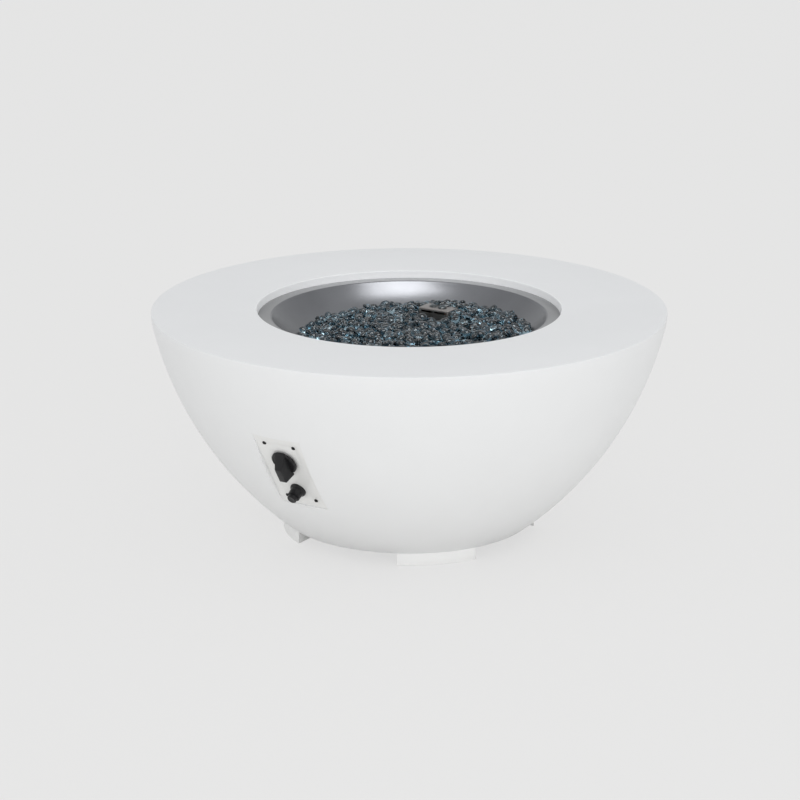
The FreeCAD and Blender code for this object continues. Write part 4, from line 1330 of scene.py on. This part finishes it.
@dataclass
class FireGlass:
    """The heap of glass drops in the pan: laid layers of drops over a bed painted dark as shade."""

    finishes: Finishes
    pan: BurnerPan
    edge_drop: float = 48.0
    crown: float = 6.0
    # the heap has slumped on one side, at an angle round the bowl from +X
    slump: float = 14.0
    slump_side: float = 190.0
    # drops heaped against and over the pilot's cover
    mound: float = 18.0
    mound_spread: float = 46.0
    mound_place: float = 130.0
    hollow: float = 10.0
    hollow_reach: float = 16.0
    bead_width: float = 24.0
    bead_depth: float = 21.0
    bead_height: float = 14.5
    smallest: float = 0.85
    largest: float = 1.12
    heave: float = 2.4
    # how far a drop on the cover may lie below its top
    cover_bite: float = 2.0
    layers: tuple[DropLayer, ...] = (
        DropLayer("glass_drops_low", 6.5, 17.0, 3, 18),
        DropLayer("glass_drops_top", -1.5, 20.4, 8, 32),
        DropLayer("glass_drops_loose", -5.0, 50.0, 21, 60),
    )
    sides: int = 96
    rings: int = 14

    def __post_init__(self) -> None:
        """Read the rim's level and the places that the drops keep clear of."""
        self.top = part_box("bowl_shell")[1].z / MM
        self.hood_low, self.hood_high = (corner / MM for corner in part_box("pilot_hood"))
        self.pan_centre = self.pan.dish_centre()

    def bead(self) -> bpy.types.Object:
        """One flattened, slightly lopsided drop of a few dozen faces."""
        shape = bmesh.new()
        bmesh.ops.create_uvsphere(shape, u_segments=10, v_segments=6, radius=0.5 * MM)
        for vert in shape.verts:
            x, y, z = vert.co / MM
            lean = 1 + 0.25 * x - 0.15 * y
            vert.co.x *= self.bead_width * (1 + 0.12 * y)
            vert.co.y *= self.bead_depth * lean
            vert.co.z *= self.bead_height * (lean if z > 0 else 0.8)
        for face in shape.faces:
            face.smooth = True
        return new_object("bead", finished(shape, "bead"))

    def rise(self, x: float, y: float) -> float:
        """How far the drops stand higher round the pilot's cover.

        Args:
            x: the place across the bowl, in millimetres.
            y: the place along the bowl, in millimetres.

        Returns:
            The rise in millimetres, less than none in front of the cover's slots.
        """
        low, high = self.hood_low, self.hood_high
        aside = min(max((abs(x) - high.x) / 15, 0), 1)
        begin, end = low.y - 6 - 30 * aside, low.y + 2 + 15 * aside
        share = min(max((y - begin) / (end - begin), 0), 1)
        reach = (x**2 + (y - self.mound_place) ** 2) / (2 * self.mound_spread**2)
        ahead = (y - low.y + self.hollow_reach / 2) / self.hollow_reach
        hollow = self.hollow * math.exp(-(ahead**2) - (x / high.x) ** 4)
        return self.mound * math.exp(-reach) * share**2 * (3 - 2 * share) - hollow

    def spot(self, share: float, angle: float, sink: float, shrink: float) -> Vector:
        """A place on the heap's surface.

        Args:
            share: how far out it lies, from 0 in the middle to 1 at the edge.
            angle: its direction in radians.
            sink: how far it lies under the heap's own surface.
            shrink: how far the edge stays from the pan's wall.

        Returns:
            The place in millimetres.
        """
        middle = self.top - self.edge_drop + self.crown
        turn = angle - math.radians(self.slump_side)
        edge = middle - self.crown - self.slump * (0.5 + 0.5 * math.cos(turn))
        across, centre = self.pan_centre
        wall = across + math.sqrt(max(self.pan.dish_radius**2 - (centre - edge + sink) ** 2, 0))
        reach = (wall - shrink) * share
        x, y = reach * math.cos(angle), reach * math.sin(angle)
        level = middle + (edge - middle) * share**2 + self.rise(x, y) - sink
        return Vector((x, y, level))

    def heap(self, sink: float, shrink: float) -> bmesh.types.BMesh:
        """The heap's upper surface, as an open sheet.

        Args:
            sink: how far it lies under the heap's own surface.
            shrink: how far its edge stays from the pan's wall.

        Returns:
            The sheet.
        """
        shape = bmesh.new()
        middle = shape.verts.new(self.spot(0, 0, sink, shrink) * MM)
        rings = []
        for step in range(1, self.rings + 1):
            ring = []
            for k in range(self.sides):
                angle = 2 * math.pi * k / self.sides
                ring.append(shape.verts.new(self.spot(step / self.rings, angle, sink, shrink) * MM))
            rings.append(ring)
        for k in range(self.sides):
            n = (k + 1) % self.sides
            shape.faces.new((middle, rings[0][k], rings[0][n]))
            for inner, outer in zip(rings, rings[1:]):
                shape.faces.new((inner[k], outer[k], outer[n], inner[n]))
        return shape

    def lay(
        self, layer: DropLayer, tree: bpy.types.NodeTree, bead: bpy.types.Object
    ) -> bpy.types.Object:
        """Lay one layer of drops.

        Args:
            layer: the layer's sizes.
            tree: the scattering tree.
            bead: the drop that is copied.

        Returns:
            The layer's object.
        """
        sheet = self.heap(layer.sink, self.bead_width * 0.45)
        drops = new_object(layer.name, finished(sheet, layer.name))
        low, high = self.hood_low * MM, self.hood_high * MM
        margin = self.bead_height * 0.45 * MM
        values = {
            "Bead": bead,
            "Finish": self.finishes.glass,
            "Spacing": layer.spacing * MM,
            "Tilt": math.radians(layer.tilt),
            "Smallest": self.smallest,
            "Largest": self.largest,
            "Heave": self.heave * MM,
            "Hood Side": high.x + margin,
            "Hood Front": low.y - margin,
            "Hood Back": high.y + margin,
            "Hood Top": high.z - self.cover_bite * MM,
            "Seed": layer.seed,
        }
        run_tree(drops, tree, values)
        drops.data.shade_smooth()
        return fit(drops, self.finishes.glass)

    def bed(self) -> bpy.types.Object:
        """The glass under the drops, painted near black as shade, closed down to the pan's floor.
        """
        shape = self.heap(self.bead_height, 2.0)
        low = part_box("glass_bed")[0].z
        rim = [edge for edge in shape.edges if edge.is_boundary]
        for sunk, drawn_in in ((6 * MM, 0.9), (None, 0.82)):
            made = bmesh.ops.extrude_edge_only(shape, edges=rim)["geom"]
            for vert in (thing for thing in made if isinstance(thing, bmesh.types.BMVert)):
                vert.co.x *= drawn_in
                vert.co.y *= drawn_in
                vert.co.z = low if sunk is None else (vert.co.z + low) / 2
            rim = [thing for thing in made if isinstance(thing, bmesh.types.BMEdge)]
            rim = [edge for edge in rim if edge.is_boundary]
        bmesh.ops.holes_fill(shape, edges=rim)
        bmesh.ops.recalc_face_normals(shape, faces=shape.faces)
        # the lower glass, painted near black as the heap's shade
        bed = new_object("glass_depths", finished(shape, "glass_depths"))
        near, far = self.hood_low, self.hood_high
        room = rectangle(far.x - near.x + 1, far.y - near.y + 1, 0, (near.y + far.y) / 2)
        cut(bed, prism("hood_room", room, low / MM - 5, self.top))
        shade(bed)
        return fit(bed, self.finishes.bed, replaces=("glass_bed",))

    def build(self) -> None:
        """Lay the bed and its layers of drops."""
        self.bed()
        bead = self.bead()
        tree = scatter_tree()
        for layer in self.layers:
            self.lay(layer, tree, bead)
        bpy.data.objects.remove(bead)


@dataclass
class PilotHood:
    """The folded steel cover over the pilot, with two slots in its front."""

    finishes: Finishes
    sheet: float = 1.2
    fold_round: float = 2.2
    slot_length: float = 29.0
    slot_height: float = 4.6
    slot_gap: float = 3.0
    slot_drop: float = 6.5

    def build(self) -> None:
        """Fold the cover, hollow it and cut its slots."""
        low, high = (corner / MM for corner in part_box("pilot_hood"))
        width, depth = high.x - low.x, high.y - low.y
        middle = (low.y + high.y) / 2
        outer = rectangle(width, depth, 0, middle)
        sides = rounded([Corner(x, y, self.fold_round) for x, y in outer], 4)
        hood = new_object("pilot_hood_folded", prism("hood", sides, low.z, high.z))
        soften(hood, 1.6, 3, 60)
        room = rectangle(width - 2 * self.sheet, depth - 2 * self.sheet, 0, middle)
        inner = rounded([Corner(x, y, self.fold_round - self.sheet) for x, y in room], 4)
        cut(hood, prism("hood_inside", inner, low.z - 1, high.z - self.sheet))
        shift = (self.slot_length + self.slot_gap) / 2
        level = high.z - self.slot_drop
        for side in (-1, 1):
            corners = rectangle(self.slot_length, self.slot_height, side * shift, level)
            slot = prism("slot", rounded([Corner(x, z, 1.0) for x, z in corners], 4), -5, 5)
            turn = Matrix.Translation(Vector((0, low.y, 0)) * MM) @ Matrix.Rotation(
                math.radians(90), 4, "X"
            )
            slot.transform(turn)
            cut(hood, slot)
        shade(hood, 25)
        fit(hood, self.finishes.hood, replaces=("pilot_hood",))


# The control plate and what sits on it


@dataclass
class ControlPlate:
    """The powder-coated plate with its holes."""

    finishes: Finishes
    edge_round: float = 0.5

    def build(self) -> None:
        """Round the plate's edges."""
        plate = merged_copy("coated_plate", "control_plate")
        soften(plate, self.edge_round, 2, 60)
        shade(plate, 30)
        fit(plate, self.finishes.plate, replaces=("control_plate",))


def screw_tree() -> bpy.types.NodeTree:
    """Set a screw at each corner of a rectangle."""
    tree = bpy.data.node_groups.new("set_screws", "GeometryNodeTree")
    number_input(tree, "Start", "Geometry")
    number_input(tree, "Screw", "Object")
    number_input(tree, "Finish", "Material")
    number_input(tree, "Across")
    number_input(tree, "Up")
    number_input(tree, "Seed", "Int")
    tree.interface.new_socket("Screws", in_out="OUTPUT", socket_type="NodeSocketGeometry")
    board = Board(tree)
    given = board.add("NodeGroupInput").outputs
    grid = board.add(
        "GeometryNodeMeshGrid", Size_X=given["Across"], Size_Y=given["Up"], Vertices_X=2
    )
    board.set(grid, "Vertices Y", 2)
    screws = copies(board, grid.outputs["Mesh"], given["Screw"])
    still, round_once = vector(board), vector(board, z=2 * math.pi)
    board.set(screws, "Rotation", random_vector(board, still, round_once, given["Seed"]))
    end_tree(board, screws.outputs[0], given["Finish"], "Screws")
    return tree


@dataclass
class PlateScrews:
    """The four black screws in the plate's corners, each with a hexagon socket."""

    finishes: Finishes
    across: float = 68.5
    up: float = 150.0
    head_radius: float = 4.2
    head_height: float = 2.4
    shank_radius: float = 2.0
    shank_length: float = 16.0
    socket_flats: float = 2.5
    socket_depth: float = 1.4
    seed: int = 5

    def screw(self) -> bpy.types.Object:
        """One domed screw."""
        head, high = self.head_radius, self.head_height
        corners = [
            Corner(0, high),
            Corner(head * 0.6, high, 1.2),
            Corner(head, high * 0.35, 0.9),
            Corner(head, 0, 0.15),
            Corner(self.shank_radius, 0),
            Corner(self.shank_radius, -self.shank_length, 0.4),
            Corner(0, -self.shank_length),
        ]
        screw = new_object("screw", turned("screw", rounded(corners, 3), 24))
        reach = self.socket_flats / math.sqrt(3)
        hexagon = [
            (reach * math.cos(math.radians(60 * k)), reach * math.sin(math.radians(60 * k)))
            for k in range(6)
        ]
        cut(screw, prism("socket", hexagon, high - self.socket_depth, high + 1))
        shade(screw, 35)
        return screw

    def build(self) -> None:
        """Set the four screws."""
        screw = self.screw()
        screws = new_object("plate_screw_set", bpy.data.meshes.new("plate_screw_set"))
        values = {
            "Screw": screw,
            "Finish": self.finishes.black_screw,
            "Across": self.across * MM,
            "Up": self.up * MM,
            "Seed": self.seed,
        }
        run_tree(screws, screw_tree(), values)
        bpy.data.objects.remove(screw)
        seat_mesh(screws, plate_seat())
        fit(screws, self.finishes.black_screw, replaces=("plate_screws",))


def join(thing: bpy.types.Object, extra: bpy.types.Object) -> bpy.types.Object:
    """Add a second object's mesh to an object, and drop the second."""
    shape = bmesh.new()
    shape.from_mesh(thing.data)
    shape.from_mesh(extra.data)
    shape.to_mesh(thing.data)
    shape.free()
    bpy.data.objects.remove(extra)
    return thing


@dataclass
class GasKnob:
    """The black push-and-turn knob: a bevelled skirt under a grip bar with an upright nose."""

    finishes: Finishes
    gap: float = 4.0
    skirt_radius: float = 27.5
    skirt_height: float = 4.5
    skirt_wall: float = 2.5
    skirt_hollow: float = 2.0
    rim_bevel: float = 2.6
    dish: float = 0.7
    grip_width: float = 15.0
    grip_foot_width: float = 23.0
    grip_nose: float = 32.0
    grip_crest: float = 2.5
    grip_heel: float = 24.5
    grip_height: float = 21.0
    stem: float = 3.05

    def skirt(self) -> bpy.types.Object:
        """Turn the skirt, with its bevelled rim round a slightly dished face."""
        low = self.gap
        top = low + self.skirt_height
        hollow = low + self.skirt_hollow
        reach = self.skirt_radius
        corners = [
            Corner(self.stem, hollow),
            Corner(reach - self.skirt_wall, hollow, 0.4),
            Corner(reach - self.skirt_wall, low, 0.3),
            Corner(reach, low, 0.5),
            Corner(reach, top - self.rim_bevel * 0.6, 0.7),
            Corner(reach - self.rim_bevel, top, 0.6),
            Corner(reach - self.rim_bevel * 1.5, top, 0.4),
            Corner(reach - self.rim_bevel * 1.8, top - self.dish, 0.4),
            Corner(self.stem, top - self.dish),
        ]
        return new_object("knob_skirt", turned("knob_skirt", rounded(corners, 3), 96))

    def bar(self) -> bpy.types.Object:
        """The grip bar, from its upright nose over the crest and down to the skirt."""
        low = self.gap
        top = low + self.skirt_height
        crown = top + self.grip_height
        outline = [
            Corner(-self.grip_nose, low + 0.2, 0.6),
            Corner(-self.skirt_radius + 1.0, low + 0.2),
            Corner(-self.skirt_radius + 1.0, top - 1.5),
            Corner(self.grip_heel, top - 1.5),
            Corner(self.grip_heel, top, 0.8),
            Corner(self.grip_crest, crown, 4.0),
            Corner(-self.grip_nose, crown, 2.4),
        ]
        mesh = prism("grip_bar", rounded(outline, 5), -0.5, 0.5)
        mesh.transform(Matrix(((0, 0, 1, 0), (1, 0, 0, 0), (0, 1, 0, 0), (0, 0, 0, 1))))
        drawn_in = (self.grip_foot_width - self.grip_width) / self.grip_height
        for vert in mesh.vertices:
            vert.co.x *= self.grip_width + (crown - vert.co.z / MM) * drawn_in
        bar = new_object("grip_bar", mesh)
        soften(bar, 1.6, 3, 60)
        return bar

    def build(self) -> None:
        """Make the knob and hang it on its body."""
        knob = join(self.skirt(), self.bar())
        knob.name = "gas_knob_moulded"
        shade(knob, 32)
        seat_mesh(knob, knob_seat())
        fit(knob, self.finishes.knob, "gas_knob", ("gas_knob",))


@dataclass
class Igniter:
    """The black battery igniter: a flanged housing and the button that it holds."""

    finishes: Finishes
    flange_radius: float = 17.0
    flange_height: float = 4.0
    body_radius: float = 13.5
    body_height: float = 20.0
    barrel_radius: float = 11.0
    barrel_length: float = 58.0
    wall: float = 1.8
    button_radius: float = 9.8
    button_height: float = 29.0
    button_length: float = 21.0
    clearance: float = 0.4
    travel: float = 3.0

    def housing(self) -> None:
        """Turn the housing with its shouldered collar and stepped barrel."""
        body, high = self.body_radius, self.body_height
        mouth = self.button_radius + self.clearance
        step = self.button_height - self.button_length - self.travel - self.clearance
        corners = [
            Corner(mouth, high - 0.6, 0.3),
            Corner(mouth + 0.6, high, 0.3),
            Corner(body - 0.8, high, 0.8),
            Corner(body - 0.4, self.flange_height + 1.2, 0.8),
            Corner(self.flange_radius - 0.8, self.flange_height, 1.0),
            Corner(self.flange_radius, self.flange_height * 0.55, 0.9),
            Corner(self.flange_radius, 0, 0.3),
            Corner(self.barrel_radius, 0),
            Corner(self.barrel_radius, -self.barrel_length, 0.8),
            Corner(0, -self.barrel_length),
            Corner(0, -self.barrel_length + self.wall),
            Corner(self.barrel_radius - self.wall, -self.barrel_length + self.wall),
            Corner(self.barrel_radius - self.wall, step),
            Corner(mouth, step),
        ]
        housing = new_object("igniter_case", turned("igniter_case", rounded(corners, 4), 80))
        shade(housing, 30)
        seat_mesh(housing, igniter_seat())
        fit(housing, self.finishes.knob, replaces=("igniter_housing",))

    def button(self) -> None:
        """Turn the button, with a rounded rim round a shallow thumb dish."""
        reach, high = self.button_radius, self.button_height
        low = high - self.button_length
        hollow = low + self.button_length / 2
        corners = [
            Corner(0, high - 0.9),
            Corner(reach * 0.55, high - 0.6, 2.0),
            Corner(reach - 1.6, high, 0.8),
            Corner(reach, high - 1.5, 1.2),
            Corner(reach, low, 0.3),
            Corner(reach - self.wall, low, 0.2),
            Corner(reach - self.wall, hollow),
            Corner(0, hollow),
        ]
        button = new_object("igniter_cap", turned("igniter_cap", rounded(corners, 4), 72))
        shade(button, 30)
        seat_mesh(button, igniter_seat())
        fit(button, self.finishes.knob, "igniter_button", ("igniter_button",))

    def build(self) -> None:
        """Make the igniter's two visible pieces."""
        self.housing()
        self.button()


@dataclass
class HiddenFittings:
    """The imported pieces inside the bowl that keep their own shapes."""

    finishes: Finishes

    def coil(self, name: str, node: str, fixed: str, pushed: str) -> None:
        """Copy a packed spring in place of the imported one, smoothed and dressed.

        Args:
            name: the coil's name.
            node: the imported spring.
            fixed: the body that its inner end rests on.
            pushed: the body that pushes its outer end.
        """
        coil = merged_copy(name, node)
        shade(coil, 40)
        coil.data.materials.append(self.finishes.spring)
        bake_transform(coil)
        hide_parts(node)
        log.info("%s: %d faces between %s and %s", name, len(coil.data.polygons), fixed, pushed)

    def build(self) -> None:
        """Give each piece its finish."""
        finishes = self.finishes
        self.coil("knob_return_coil", "knob_spring", "valve_plug", "gas_knob")
        self.coil("igniter_coil", "igniter_spring", ROOT, "igniter_button")
        zinc = ("burner_locknut", "air_mixer", "valve_bonnet", "safety_magnet")
        zinc += ("inlet_bracket", "pilot_bracket", "pilot_nuts")
        brass = ("gas_orifice", "gas_valve_body", "valve_plug", "gas_inlet_fitting")
        kept = (
            (("star_burner", "valve_stem"), finishes.burner),
            (zinc, finishes.zinc),
            (brass, finishes.brass),
            (("supply_tube", "flex_connector"), finishes.tube),
            (("spark_electrode",), finishes.spring),
            (("igniter_nut",), finishes.knob),
            (("igniter_battery",), finishes.cell),
            (("electrode_insulator",), finishes.ceramic),
            (("ignition_lead",), finishes.silicone),
            (("sensor_lead", "flame_sensor"), finishes.copper),
        )
        for nodes, finish in kept:
            dress(nodes, finish)


def main() -> None:
    """Build the studio, then the fire bowl piece by piece."""
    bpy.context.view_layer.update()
    Studio().build()
    finishes = Finishes()
    CastBowl(finishes).build()
    pan = BurnerPan(finishes)
    pan.build()
    FireGlass(finishes, pan).build()
    PilotHood(finishes).build()
    ControlPlate(finishes).build()
    PlateScrews(finishes).build()
    GasKnob(finishes).build()
    Igniter(finishes).build()
    HiddenFittings(finishes).build()


if __name__ == "__main__":
    main()
